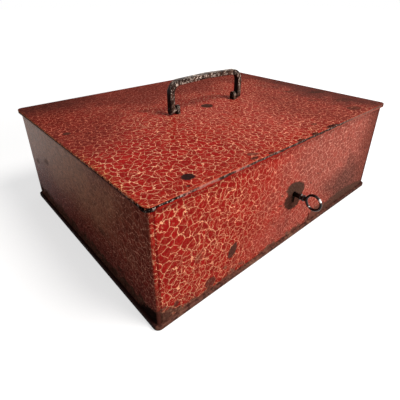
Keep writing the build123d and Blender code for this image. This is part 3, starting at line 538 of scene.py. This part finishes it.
def wearAndShadowSpots(web, flat, colour, spots):
    # one mask for all the spots of a colour, which keeps the shader small enough to render; the spots are wear and
    # dirt, and one is a painted shadow
    values = spotValues
    wearAndShadow = 0.0
    for name in dict.fromkeys(spot[-1] for spot in spots):
        masks = []
        for centre, reach, turn, rag, strength, spotName in spots:
            if spotName == name:
                spot = web.patch(flat, centre, reach, turn, rag, values["grain"], values["soft"])
                masks.append(web.times(spot, strength))
        mask = web.highest(*masks)
        colour = web.blend(mask, colour, colours[name])
        wearAndShadow = web.highest(mask, wearAndShadow)
    darkest, palest = (web.calc("MULTIPLY_ADD", wearAndShadow, values[key], 1.0) for key in ("darker", "lighter"))
    return web.tint(colour, web.vary(flat, *values["mottle"], darkest, palest)), wearAndShadow


finishValues = {
    "roughness": 0.5, "wornRoughness": 0.15, "coatRoughness": 0.2, "specular": 0.0,
    "bump": (0.45, 0.0003), "crackDepth": 0.5,
    "waves": (35.0, 1.0), "wavesDepth": 0.8,
    "grain": (1400.0, 2.0), "grainDepth": 0.12,
}


def finishPaint(web, shader, place, colour, crack, wearAndShadow, coat):
    values = finishValues
    web.fill(shader, {
        "Base Color": colour,
        "Roughness": web.plus(values["roughness"], web.times(wearAndShadow, values["wornRoughness"])),
        "Coat Weight": web.times(coat, web.rest(wearAndShadow)),
        "Coat Roughness": values["coatRoughness"],
        "Specular IOR Level": values["specular"],
    })
    height = web.rest(web.highest(web.times(crack, values["crackDepth"]), wearAndShadow))
    for key in ("waves", "grain"):
        height = web.plus(height, web.times(web.noise(place, *values[key]), values[key + "Depth"]))
    web.bump(shader, height, *values["bump"])


enamelValues = {
    "clouds": (26.0, 3.0, 0.55, 0.35, 0.68), "cloudShare": 0.6,
    "stretch": (0.12, 1.0, 0.5), "scratches": (0.0016, 0.68, 0.02), "scratchShare": 0.45,
    "dust": (0.0026, 0.7, 0.03), "dustShare": 0.3,
}


def insideEnamel(web, place):
    # dull enamel with soft clouds, thin scratches and a little dust
    values = enamelValues
    clouds = web.vary(place, *values["clouds"])
    scratches = web.cloud(web.vector("MULTIPLY", place, values["stretch"]), *values["scratches"])
    dust = web.cloud(place, *values["dust"])
    colour = web.blend(web.times(clouds, values["cloudShare"]), colours["enamel"], colours["enamelWorn"])
    colour = web.blend(web.times(scratches, values["scratchShare"]), colour, colours["enamelScratch"])
    return web.blend(web.times(dust, values["dustShare"]), colour, colours["enamelScratch"])


def coatLevel(web, along, stops):
    # one gloss, or a drift between two places
    if len(stops) == 1:
        return stops[0][1]
    (low, lowLevel), (high, highLevel) = stops
    return web.ramp(along, low, high, lowLevel, highLevel)


# the folded edge of the lid
hemValues = {
    "halfX": 0.15, "front": -0.11675, "back": 0.11775, "top": 0.1005, "corner": 0.005,
    "skin": 0.0012,  # how far in from the outline its outer side reaches
    "turn": (0.0002, 0.0007),  # below the top, where the flat plate turns down
    "sheet": 0.0009, "inset": 0.0006,  # below the top and in from the outline, where the inside starts
    "arris": (0.0008, 1.9),  # width and raggedness of the orange line along the turn: rubbed paint with a painted highlight on the rounded edge
    "arrisX": (0.06, -0.1), "arrisY": (-0.06, -0.11, 0.3, 1.0), "arrisShare": (0.16, 0.04),
    "patches": (420.0, 4.0, 0.75), "bareLevel": (0.7, 0.42, 0.05),
    "frontSpan": (-0.15, 0.15), "endSpan": (-0.117, 0.118),
    # x and how much of the front edge is bare and black there
    "frontBare": [(-0.15, 0.95), (-0.129, 0.9), (-0.123, 0.35), (-0.116, 0.75), (-0.112, 0.3), (-0.098, 0.3),
                  (-0.093, 0.85), (-0.085, 0.8), (-0.08, 0.4), (-0.06, 0.74), (-0.018, 0.74), (0.004, 0.92),
                  (0.055, 0.85), (0.07, 0.42), (0.105, 0.26), (0.146, 0.6)],
    # y and the same for the two ends
    "endBare": [(-0.117, 0.95), (-0.1, 0.45), (0.118, 0.3)],
    # the front edge's pale pink: faded paint with a painted highlight along the rounded top of the fold
    "frontPaint": shade(186, 116, 104),
    "rightPaint": shade(138, 88, 76),
    "endPaint": shade(236, 128, 88),
    "backPaint": shade(128, 44, 33),
    "middle": (-0.05, 0.05),  # x where the front edge turns from its left colours to its right ones
    "mottle": (260.0, 3.0, 0.6, 0.35, 0.65, 0.72, 1.12),
    "lowMottle": (0.3, 0.7, 0.8, 1.2),
    "endDark": (0.0012, 0.0016),  # how far below the lid's top its ends turn from red to black
    "endLow": (0.0021, 0.0025),  # and from black to the colours of the side below
    "endRag": 0.0018,
    "endLowAndSheen": [shade(128, 76, 66), shade(190, 162, 150)],  # at the front, and paler at the back, where it carries a painted sheen like the wall below
    "endAlong": (-0.1, 0.06),
    "frontLow": (0.0023, 0.0028),  # where the front's lower part starts, which keeps its red
    "frontRed": [shade(152, 34, 26), shade(158, 84, 70)],  # at its left end and at its right end
    "waves": (110.0, 3.0, 0.6), "waveHeight": 0.003,
    "cornerKept": (0.004, 0.01),  # from the front left corner, where the lower colours start
    "flecks": (0.0021, 0.57, 0.03),
    "glintReach": (0.01, 0.036, 1.0, 0.36),  # from the same corner, where the painted glints thin out
    "glintDepth": (0.0014, 0.0022, 1.0, 0.2),
    "darkSteel": (0.4, 0.6), "darkFrom": (-0.13, -0.1),  # levels of the patches, and x
    "insideWear": 0.6, "dirtWear": 0.7,
}


def foldedEdge(web, place, x, y, below, fromEnd, fromFront):
    # painted, or rubbed to black steel, with painted glints near the corner
    hem = hemValues
    onFront, onEnd = web.under(fromFront, hem["skin"]), web.under(fromEnd, hem["skin"])
    patchy = web.noise(place, *hem["patches"])
    bare = web.blend(onFront, web.steps(y, hem["endSpan"], hem["endBare"]),
                     web.steps(x, hem["frontSpan"], hem["frontBare"]))
    ragged = web.plus(below, web.times(web.minus(patchy, 0.5), hem["endRag"]))
    endDark = web.times(web.ramp(ragged, *hem["endDark"]), onEnd)
    endLow = web.times(web.ramp(ragged, *hem["endLow"]), onEnd)
    level, share, soft = hem["bareLevel"]
    limit = web.minus(level, web.times(bare, share))
    black = web.highest(web.ramp(patchy, web.minus(limit, soft), web.plus(limit, soft)), endDark)
    toRight = web.ramp(x, *hem["middle"])
    painted = web.blend(onFront, web.blend(onEnd, hem["backPaint"], hem["endPaint"]),
                        web.blend(toRight, hem["frontPaint"], hem["rightPaint"]))
    painted = web.tint(painted, web.vary(place, *hem["mottle"]))
    fromCorner = web.vector("LENGTH", web.join(web.plus(x, hem["halfX"]), fromFront))
    # painted glints: pale flecks on the bare steel at the top of the fold, near the front left corner
    flecks = web.times(web.cloud(place, *hem["flecks"]), web.ramp(fromCorner, *hem["glintReach"]),
                       web.ramp(below, *hem["glintDepth"]))
    darkSteel = web.times(web.ramp(patchy, *hem["darkSteel"]), web.ramp(x, *hem["darkFrom"]), onFront)
    steel = web.blend(darkSteel, colours["blackEdge"], colours["hemSteel"])
    colour = web.blend(black, painted, web.blend(flecks, steel, colours["edgeGlint"]))

    # the lower part, which takes the colours of the wall below it, with the painted sheen at the back of the ends
    mottle = web.ramp(patchy, *hem["lowMottle"])
    endLowAndSheen = web.tint(web.blend(web.ramp(y, *hem["endAlong"]), *hem["endLowAndSheen"]), mottle)
    colour = web.blend(web.times(endLow, web.ramp(fromFront, *hem["cornerKept"])), colour, endLowAndSheen)
    wave = web.times(web.minus(web.noise(place, *hem["waves"]), 0.5), hem["waveHeight"])
    frontLow = web.times(web.ramp(web.plus(below, wave), *hem["frontLow"]), onFront)
    frontRed = web.tint(web.blend(toRight, *hem["frontRed"]), mottle)
    colour = web.blend(web.times(frontLow, web.ramp(fromCorner, *hem["cornerKept"])), colour, frontRed)
    return colour, black


def paintLid():
    values, hem = lidValues, hemValues
    material, web, shader = newMaterial("lidPaint")
    place = web.add("TexCoord").outputs["Object"]
    x, y, z = web.split(place)
    flat = web.join(x, y)
    colour, crack = crackledPaint(web, flat, place, values)
    specks = web.times(web.cloud(place, *values["specks"]), values["speckShare"])
    across = web.steps(x, hem["frontSpan"], values["cloudsAcross"])
    dirt = web.times(web.cloud(place, *values["clouds"]), across, values["dirt"])
    colour = web.blend(web.highest(dirt, specks), colour, colours["dirt"])
    colour, wearAndShadow = wearAndShadowSpots(web, flat, colour, values["spots"])

    # distance in from the lid's outline, round its corners too, up to their radius
    radius = hem["corner"]
    fromEnd, fromFront = web.minus(hem["halfX"], web.size(x)), web.minus(y, hem["front"])
    fromLong = web.calc("MINIMUM", fromFront, web.minus(hem["back"], y))
    pastEnd, pastLong = (web.highest(web.minus(radius, away), 0.0) for away in (fromEnd, fromLong))
    inward = web.minus(radius, web.vector("LENGTH", web.join(pastEnd, pastLong)))
    below = web.minus(hem["top"], z)
    # the orange line along the top edge: rubbed paint and a painted highlight, strongest at the front left
    fresh = web.times(web.ramp(x, *hem["arrisX"]), web.ramp(y, *hem["arrisY"]))
    most, least = hem["arrisShare"]
    arris = web.times(web.edgeWear(place, inward, *hem["arris"]), web.plus(web.times(fresh, most), least))
    colour = web.blend(arris, colour, colours["edgeOrange"])
    turned = web.ramp(below, *hem["turn"])
    hemColour, black = foldedEdge(web, place, x, y, below, fromEnd, fromFront)
    colour = web.blend(turned, colour, hemColour)

    inside = web.times(web.above(below, hem["sheet"]), web.above(inward, hem["inset"]))
    colour = web.blend(inside, colour, insideEnamel(web, place))
    wearAndShadow = web.highest(wearAndShadow, web.times(turned, black), web.times(inside, hem["insideWear"]),
                       web.times(dirt, hem["dirtWear"]))
    crack = web.times(crack, web.rest(web.highest(inside, turned)))
    finishPaint(web, shader, place, colour, crack, wearAndShadow, coatLevel(web, y, values["coat"]))
    return material


# the turned-in edges of the two end walls
stripValues = {
    "leftPaint": {
        "front": {"paint": frontValues, "cells": (146, 22, 18), "lines": (230, 160, 120)},
        "back": {"paint": plainValues, "cells": (142, 32, 25), "lines": (218, 140, 110)},
    },
    "rightPaint": {
        "front": {"paint": frontValues, "cells": (96, 46, 37), "lines": (136, 80, 66)},
        "back": {"paint": plainValues, "cells": (112, 48, 39), "lines": (162, 96, 78)},
    },
}

wallValues = {
    "halfX": 0.1475, "halfY": 0.11425, "sheet": 0.0009,
    "foot": 0.0054, "footFade": (0.0024, 0.002),  # height of the rubbed band, and how softly it ends
    "footRise": (-0.122, -0.146, 0.0, 0.009),  # from x to x, how much higher it reaches at the left corner
    "footDrift": (75.0, 5.0, 0.68), "footRag": 0.03,
    "footKept": (240.0, 3.0, 0.6, 0.36, 0.5, 0.45, 0.95),
    "footFlecks": (430.0, 4.0, 0.7, 0.46, 0.62), "footMottle": (170.0, 3.0, 0.6, 0.34, 0.66, 0.62, 1.15),
    "clouds": (0.022, 0.6, 0.1), "cloudsBelow": (0.04, 0.008),
    "speckSize": 0.0022, "speckSoft": 0.03, "speckShare": 0.75,
    "cornerWear": (0.0011, 1.6), "cornerWorn": (0.015, 0.06, 0.6, 0.15),
    "turned": 0.7,  # how far its turned edge faces the front or the back
    "seamFacing": 0.3, "seamFrom": 0.14,  # the step of the corner seam: how far it looks outwards, and its x
    "insideWear": 0.6,
    "coatSlope": 0.6,  # share of the place along the wall in the drift of its gloss
}


def paintWall(name, values, plane):
    wall = wallValues
    material, web, shader = newMaterial(name)
    space = web.add("TexCoord")
    place = space.outputs["Object"]
    x, y, z = web.split(place)
    strips = []
    if plane == "xz":
        across, limit = x, wall["halfX"]
    else:
        # an end wall turns round the corners, where it carries the front's or the back's paint
        across, limit = y, wall["halfY"]
        turned = web.above(web.size(web.split(space.outputs["Normal"])[1]), wall["turned"])
        for side, strip in stripValues[name].items():
            onSide = web.under(y, 0.0) if side == "front" else web.above(y, 0.0)
            strips.append((web.times(turned, onSide), web.join(x, z), strip))
    flat = web.join(across, z)
    colour, crack = crackledPaint(web, flat, place, values, strips)

    drift = web.times(web.minus(web.noise(place, *wall["footDrift"]), 0.5), wall["footRag"])
    height = web.minus(web.plus(z, drift), web.ramp(x, *wall["footRise"]))
    more, less = wall["footFade"]
    foot = web.ramp(height, wall["foot"] + more, wall["foot"] - less)
    clouds = web.times(web.cloud(place, *wall["clouds"]), web.ramp(z, *wall["cloudsBelow"]), values["dirt"])
    dirt = web.highest(web.times(foot, web.vary(place, *wall["footKept"])), clouds)
    specks = web.cloud(place, wall["speckSize"], values["specks"], wall["speckSoft"])
    dull = web.blend(web.vary(place, *wall["footFlecks"]), colours["footBrown"], colours["footFleck"])
    dull = web.tint(dull, web.vary(place, *wall["footMottle"]))
    colour = web.blend(dirt, colour, web.tint(dull, values["foot"]))
    colour = web.blend(web.times(specks, wall["speckShare"]), colour, colours["dirt"])
    colour, wearAndShadow = wearAndShadowSpots(web, flat, colour, values["spots"])
    rubbedAndHighlit = web.edgeWear(place, web.minus(limit, web.size(across)), *wall["cornerWear"])
    rubbedAndHighlit = web.times(rubbedAndHighlit, web.ramp(z, *wall["cornerWorn"]))
    colour = web.blend(rubbedAndHighlit, colour, colours["seamBrown"])

    # inside, but not in the step of the corner seam, which looks outwards
    outward = web.times(web.split(space.outputs["Normal"])[1], web.calc("SIGN", y))
    step = web.times(web.above(outward, wall["seamFacing"]), web.above(web.size(x), wall["seamFrom"]))
    inside = web.times(web.under(web.size(x), wall["halfX"] - wall["sheet"]),
                       web.under(web.size(y), wall["halfY"] - wall["sheet"]), web.rest(step))
    colour = web.blend(inside, colour, insideEnamel(web, place))
    wearAndShadow = web.highest(wearAndShadow, dirt, rubbedAndHighlit, web.times(inside, wall["insideWear"]))
    coat = coatLevel(web, web.plus(z, web.times(y, wall["coatSlope"])), values["coat"])
    finishPaint(web, shader, place, colour, web.times(crack, web.rest(inside)), wearAndShadow, coat)
    return material


baseValues = {
    "flange": shade(50, 27, 24),
    "flangeFront": shade(98, 61, 50),
    "flangeWorn": shade(126, 90, 72),
    "under": shade(60, 50, 44),
    "rubs": (0.006, 0.57, 0.06), "rubShare": (0.6, 0.08),
    "front": -0.1142,  # y of the flange's front face
    "blotches": (0.004, 0.52, 0.08), "blotched": 0.25,
    "brownAcross": (0.03, 0.1, 1.0, 0.45),
    "stretch": (1.0, 0.08, 1.0), "scratches": (0.002, 0.66, 0.03),
    "bottom": 0.0003,  # height up to which the underside's scratches reach
    "insideX": 0.1462, "insideY": 0.113,
    "rubDepth": 0.4, "rubWear": 0.6, "coat": 0.06,
}


def paintBase():
    # black painted flange, rubbed at its edge, with dull enamel above the floor plate
    values = baseValues
    material, web, shader = newMaterial("basePaint")
    place = web.add("TexCoord").outputs["Object"]
    x, y, z = web.split(place)
    rubs = web.cloud(place, *values["rubs"])
    blotches = web.cloud(place, *values["blotches"])
    brown = web.times(web.under(y, values["front"]), web.ramp(blotches, 0.0, 1.0, 1.0, values["blotched"]),
                      web.ramp(x, *values["brownAcross"]))
    colour = web.blend(brown, values["flange"], values["flangeFront"])
    rubbedAndHighlit = web.times(rubs, web.calc("MULTIPLY_ADD", brown, *values["rubShare"]))
    colour = web.blend(rubbedAndHighlit, colour, values["flangeWorn"])
    scratches = web.cloud(web.vector("MULTIPLY", place, values["stretch"]), *values["scratches"])
    under = web.blend(scratches, values["under"], values["flangeWorn"])
    colour = web.blend(web.under(z, values["bottom"]), colour, under)
    inside = web.times(web.under(web.size(x), values["insideX"]), web.under(web.size(y), values["insideY"]),
                       web.above(z, values["bottom"]))
    colour = web.blend(inside, colour, insideEnamel(web, place))
    depth, wearAndShadow = web.times(rubs, values["rubDepth"]), web.times(rubs, values["rubWear"])
    finishPaint(web, shader, place, colour, depth, wearAndShadow, values["coat"])
    return material


handleValues = {
    "black": shade(24, 17, 15),
    "cream": shade(220, 203, 188),
    "brown": shade(104, 74, 60),
    "cell": 0.0032, "width": 0.0011, "wobble": 1.3, "breaks": 0.5,
    "flecks": (0.0028, 0.61, 0.04), "fleckShare": 0.6,
    "blotches": (0.0075, 0.5, 0.1), "blotchPale": 0.45, "blotchBrown": (0.55, 0.1),
    # how much of the cream is left below the first height and above the second, by x
    "rise": (0.108, 0.124), "lowPale": (-0.02, 0.02, 0.48, 0.25), "highPale": (0.036, 0.044, 1.0, 0.6),
    "paleShare": 0.92,
    "rubs": (0.004, 0.68, 0.04), "rubShare": 0.35,
    "roughness": 0.38, "paleRoughness": 0.2, "specular": 0.05, "bump": (0.6, 0.0002),
}

metalValues = {
    # highlight spots: painted highlights, places where the metal is made bright and smoother, and their reach
    "key": {"bright": (0.026, 0.018, 0.016), "dull": (0.008, 0.005, 0.004), "size": 0.003, "roughness": 0.2,
            "coat": 0.25, "highlightSpots": [((0.0, -0.1392, 0.0524), 0.0028), ((0.0, -0.1298, 0.0419), 0.002),
                                       ((0.0, -0.1225, 0.0502), 0.0016)]},
    "lock": {"bright": (0.21, 0.19, 0.165), "dull": (0.1, 0.064, 0.045), "size": 0.008, "roughness": 0.38,
             "coat": 0.0, "highlightSpots": []},
    "hinge": {"bright": (0.1, 0.075, 0.062), "dull": (0.05, 0.026, 0.02), "size": 0.006, "roughness": 0.58,
              "coat": 0.0, "highlightSpots": []},
}

allMetals = {
    "tarnish": (0.5, 0.14), "tarnishRoughness": 0.2,
    # the painted highlights: their colour, how much smoother they are, their raggedness and their bright core
    "highlightColour": (0.56, 0.53, 0.51), "highlightRoughness": 0.08, "highlightRag": (500.0, 0.5), "highlightCore": 0.7,
    "coatRoughness": 0.12, "grain": (900.0, 3.0, 0.6), "bump": (0.25, 0.0001),
}


def paintHandle():
    values = handleValues
    material, web, shader = newMaterial("handlePaint")
    space = web.use("faceSpace")
    place, lit = space["Place"], space["Lit"]
    x, y, z = web.split(place)
    crack = web.use("crackle", Vector=space["Flat"], Cell=values["cell"], Width=values["width"],
                    Wobble=values["wobble"], Breaks=values["breaks"])["Crack"]
    flecks, blotches = (web.cloud(place, *values[key]) for key in ("flecks", "blotches"))
    # painted light and shade: cream crackle and brown blotches only on faces toward the lamps, at the front and
    # above; faces turned away stay black
    high = web.ramp(z, *values["rise"], web.ramp(x, *values["lowPale"]), web.ramp(x, *values["highPale"]))
    pale = web.times(web.highest(crack, web.times(flecks, values["fleckShare"])), lit, high)
    pale = web.times(pale, web.ramp(blotches, 0.0, 1.0, 1.0, values["blotchPale"]))
    brown = web.times(lit, web.ramp(blotches, 0.0, 1.0, *values["blotchBrown"]))
    colour = web.blend(brown, values["black"], values["brown"])
    colour = web.blend(web.times(pale, values["paleShare"]), colour, values["cream"])
    rubs = web.times(web.cloud(place, *values["rubs"]), web.rest(lit), values["rubShare"])
    web.fill(shader, {
        "Base Color": web.blend(rubs, colour, values["brown"]),
        "Roughness": web.plus(values["roughness"], web.times(pale, values["paleRoughness"])),
        "Specular IOR Level": values["specular"],
    })
    web.bump(shader, web.rest(web.times(crack, lit)), *values["bump"])
    return material


def metalFinish(name, values):
    shared = allMetals
    material, web, shader = newMaterial(name)
    place = web.add("TexCoord").outputs["Object"]
    tarnish = web.cloud(place, values["size"], *shared["tarnish"])
    colour = web.blend(tarnish, values["bright"], values["dull"])
    rough = web.plus(values["roughness"], web.times(tarnish, shared["tarnishRoughness"]))
    scale, share = shared["highlightRag"]
    # painted highlights: the metal turns bright and smoother round each listed spot
    for centre, reach in values["highlightSpots"]:
        away = web.vector("LENGTH", web.vector("SUBTRACT", place, centre))
        ragged = web.plus(away, web.times(web.noise(place, scale), reach * share))
        rubbedAndHighlit = web.ramp(ragged, reach, reach * shared["highlightCore"])
        colour = web.blend(rubbedAndHighlit, colour, shared["highlightColour"])
        rough = web.minus(rough, web.times(rubbedAndHighlit, shared["highlightRoughness"]))
    web.fill(shader, {"Base Color": colour, "Metallic": 1.0, "Roughness": rough, "Coat Weight": values["coat"],
                      "Coat Roughness": shared["coatRoughness"]})
    web.bump(shader, web.noise(place, *shared["grain"]), *shared["bump"])
    return material


finishes = [
    (paintLid(), ["lid_plate", "lid_rim", "left_lid_rim", "right_lid_rim", "staple_rivets", "hinge_lid_rivets"]),
    (paintBase(), ["base_pan"]),
    (paintHandle(), ["handle_bar", "left_ear", "right_ear", "pivot_pins"]),
    (metalFinish("lockSteel", metalValues["lock"]), [
        "lock_plate", "lock_cover", "lock_screws", "bolt_studs", "bolt_spring", "ward_ring", "lid_staple",
        "ear_washers", "drill_pin", "bolt"]),
    (metalFinish("hingeSteel", metalValues["hinge"]), [
        "left_hinge_pin", "right_hinge_pin", "left_hinge_lid_leaf", "right_hinge_lid_leaf"]),
    (paintWall("frontPaint", frontValues, "xz"), ["front_wall"]),
    (paintWall("leftPaint", leftValues, "yz"), ["left_wall"]),
    (paintWall("rightPaint", plainValues, "yz"), ["right_wall"]),
    (paintWall("backPaint", plainValues, "xz"), [
        "back_wall", "left_hinge_wall_leaf", "right_hinge_wall_leaf", "hinge_wall_rivets"]),
    (metalFinish("keySteel", metalValues["key"]), ["key"]),
]
for material, names in finishes:
    for name in names:
        mesh = nodes[name].data
        mesh.materials.clear()
        mesh.materials.append(material)
print("finishes on", sum(len(names) for material, names in finishes), "nodes")


stageValues = {
    "floorSize": 6.0,
    "floorDrop": 0.0003,
    "glow": (0.28, 1.1, 0.64, 1.0),  # from reach to reach, how bright the floor is
    "floorColour": (0.5, 0.5, 0.5),
    "floorBounce": (0.27, 0.265, 0.26),
    "ambient": (0.24, 0.24, 0.245),
    "backdrop": (1.0, 1.0, 1.0),
}

lampAim = (0.0, 0.0, 0.05)
lampValues = {
    "keyLamp": {"place": (0.36, -0.8, 1.3), "size": 0.7, "power": 20.0, "colour": (1.0, 0.97, 0.94)},
    "frontLamp": {"place": (0.35, -1.55, 0.4), "size": 1.1, "power": 15.0, "colour": (1.0, 0.98, 0.96)},
}

cameraValues = {
    "place": (-0.22398, -0.24442, 0.2008),
    "yaw": 41.452,  # from the front towards the right end
    "pitch": 27.87,  # below the horizon
    "roll": 0.114,
    "lens": 29.75, "sensor": 36.0, "nearest": 0.01,
    "shift": (-0.00185, -0.07465),
}


def pickByRay(web, hidden, shown, out):
    # one shader for what the camera and clear reflections meet, another for the light it gives
    path = web.add("LightPath")
    seen = web.highest(*(path.outputs["Is " + kind + " Ray"] for kind in ("Camera", "Glossy", "Transmission")))
    web.feed(web.add(out).inputs[0], web.feedInOrder(web.add("MixShader"), seen, hidden, shown))


def freshWeb(owner):
    owner.use_nodes = True
    owner.node_tree.nodes.clear()
    return NodeWeb(owner.node_tree)


def buildStage():
    values = stageValues
    grid = bmesh.new()
    bmesh.ops.create_grid(grid, x_segments=1, y_segments=1, size=values["floorSize"])
    bmesh.ops.translate(grid, verts=grid.verts, vec=(0.0, 0.0, -values["floorDrop"]))
    mesh = bpy.data.meshes.new("floor")
    grid.to_mesh(mesh)
    grid.free()
    floor = bpy.data.objects.new("floor", mesh)
    bpy.context.scene.collection.objects.link(floor)
    material = bpy.data.materials.new("floorWhite")
    web = freshWeb(material)
    x, y, z = web.split(web.add("TexCoord").outputs["Object"])
    glow = web.add("Emission")
    web.feed(glow.inputs["Strength"], web.ramp(web.vector("LENGTH", web.join(x, y)), *values["glow"]))
    pale, bounce = (web.feedInOrder(web.add("BsdfDiffuse"), values[key]) for key in ("floorColour", "floorBounce"))
    shown = web.feedInOrder(web.add("AddShader"), glow.outputs[0], pale)
    pickByRay(web, bounce, shown, "OutputMaterial")
    mesh.materials.append(material)

    world = bpy.data.worlds.new("studio")
    bpy.context.scene.world = world
    web = freshWeb(world)
    soft, white = (web.feedInOrder(web.add("Background"), values[key]) for key in ("ambient", "backdrop"))
    pickByRay(web, soft, white, "OutputWorld")


def buildLamps():
    for name, values in lampValues.items():
        lamp = bpy.data.lights.new(name, "AREA")
        lamp.shape = "DISK"
        lamp.size = values["size"]
        lamp.energy = values["power"]
        lamp.color = values["colour"]
        item = bpy.data.objects.new(name, lamp)
        place = Vector(values["place"])
        aim = (Vector(lampAim) - place).to_track_quat("-Z", "Y")
        item.matrix_world = Matrix.Translation(place) @ aim.to_matrix().to_4x4()
        bpy.context.scene.collection.objects.link(item)


def buildCamera():
    values = cameraValues
    yaw, pitch, roll = (math.radians(values[key]) for key in ("yaw", "pitch", "roll"))
    forward = Vector((math.sin(yaw) * math.cos(pitch), math.cos(yaw) * math.cos(pitch), -math.sin(pitch)))
    right = Vector((math.cos(yaw), -math.sin(yaw), 0.0))
    up = right.cross(forward)
    turnedRight = math.cos(roll) * right + math.sin(roll) * up
    turnedUp = math.cos(roll) * up - math.sin(roll) * right
    data = bpy.data.cameras.new("camera")
    data.lens = values["lens"]
    data.sensor_width = values["sensor"]
    data.sensor_fit = "HORIZONTAL"
    data.shift_x, data.shift_y = values["shift"]
    data.clip_start = values["nearest"]
    camera = bpy.data.objects.new("camera", data)
    turn = Matrix((turnedRight, turnedUp, -forward)).transposed()
    camera.matrix_world = Matrix.Translation(Vector(values["place"])) @ turn.to_4x4()
    bpy.context.scene.collection.objects.link(camera)
    bpy.context.scene.camera = camera


buildStage()
buildLamps()
buildCamera()
bpy.context.scene.view_settings.view_transform = "Standard"
print("stage, lamps and camera ready")
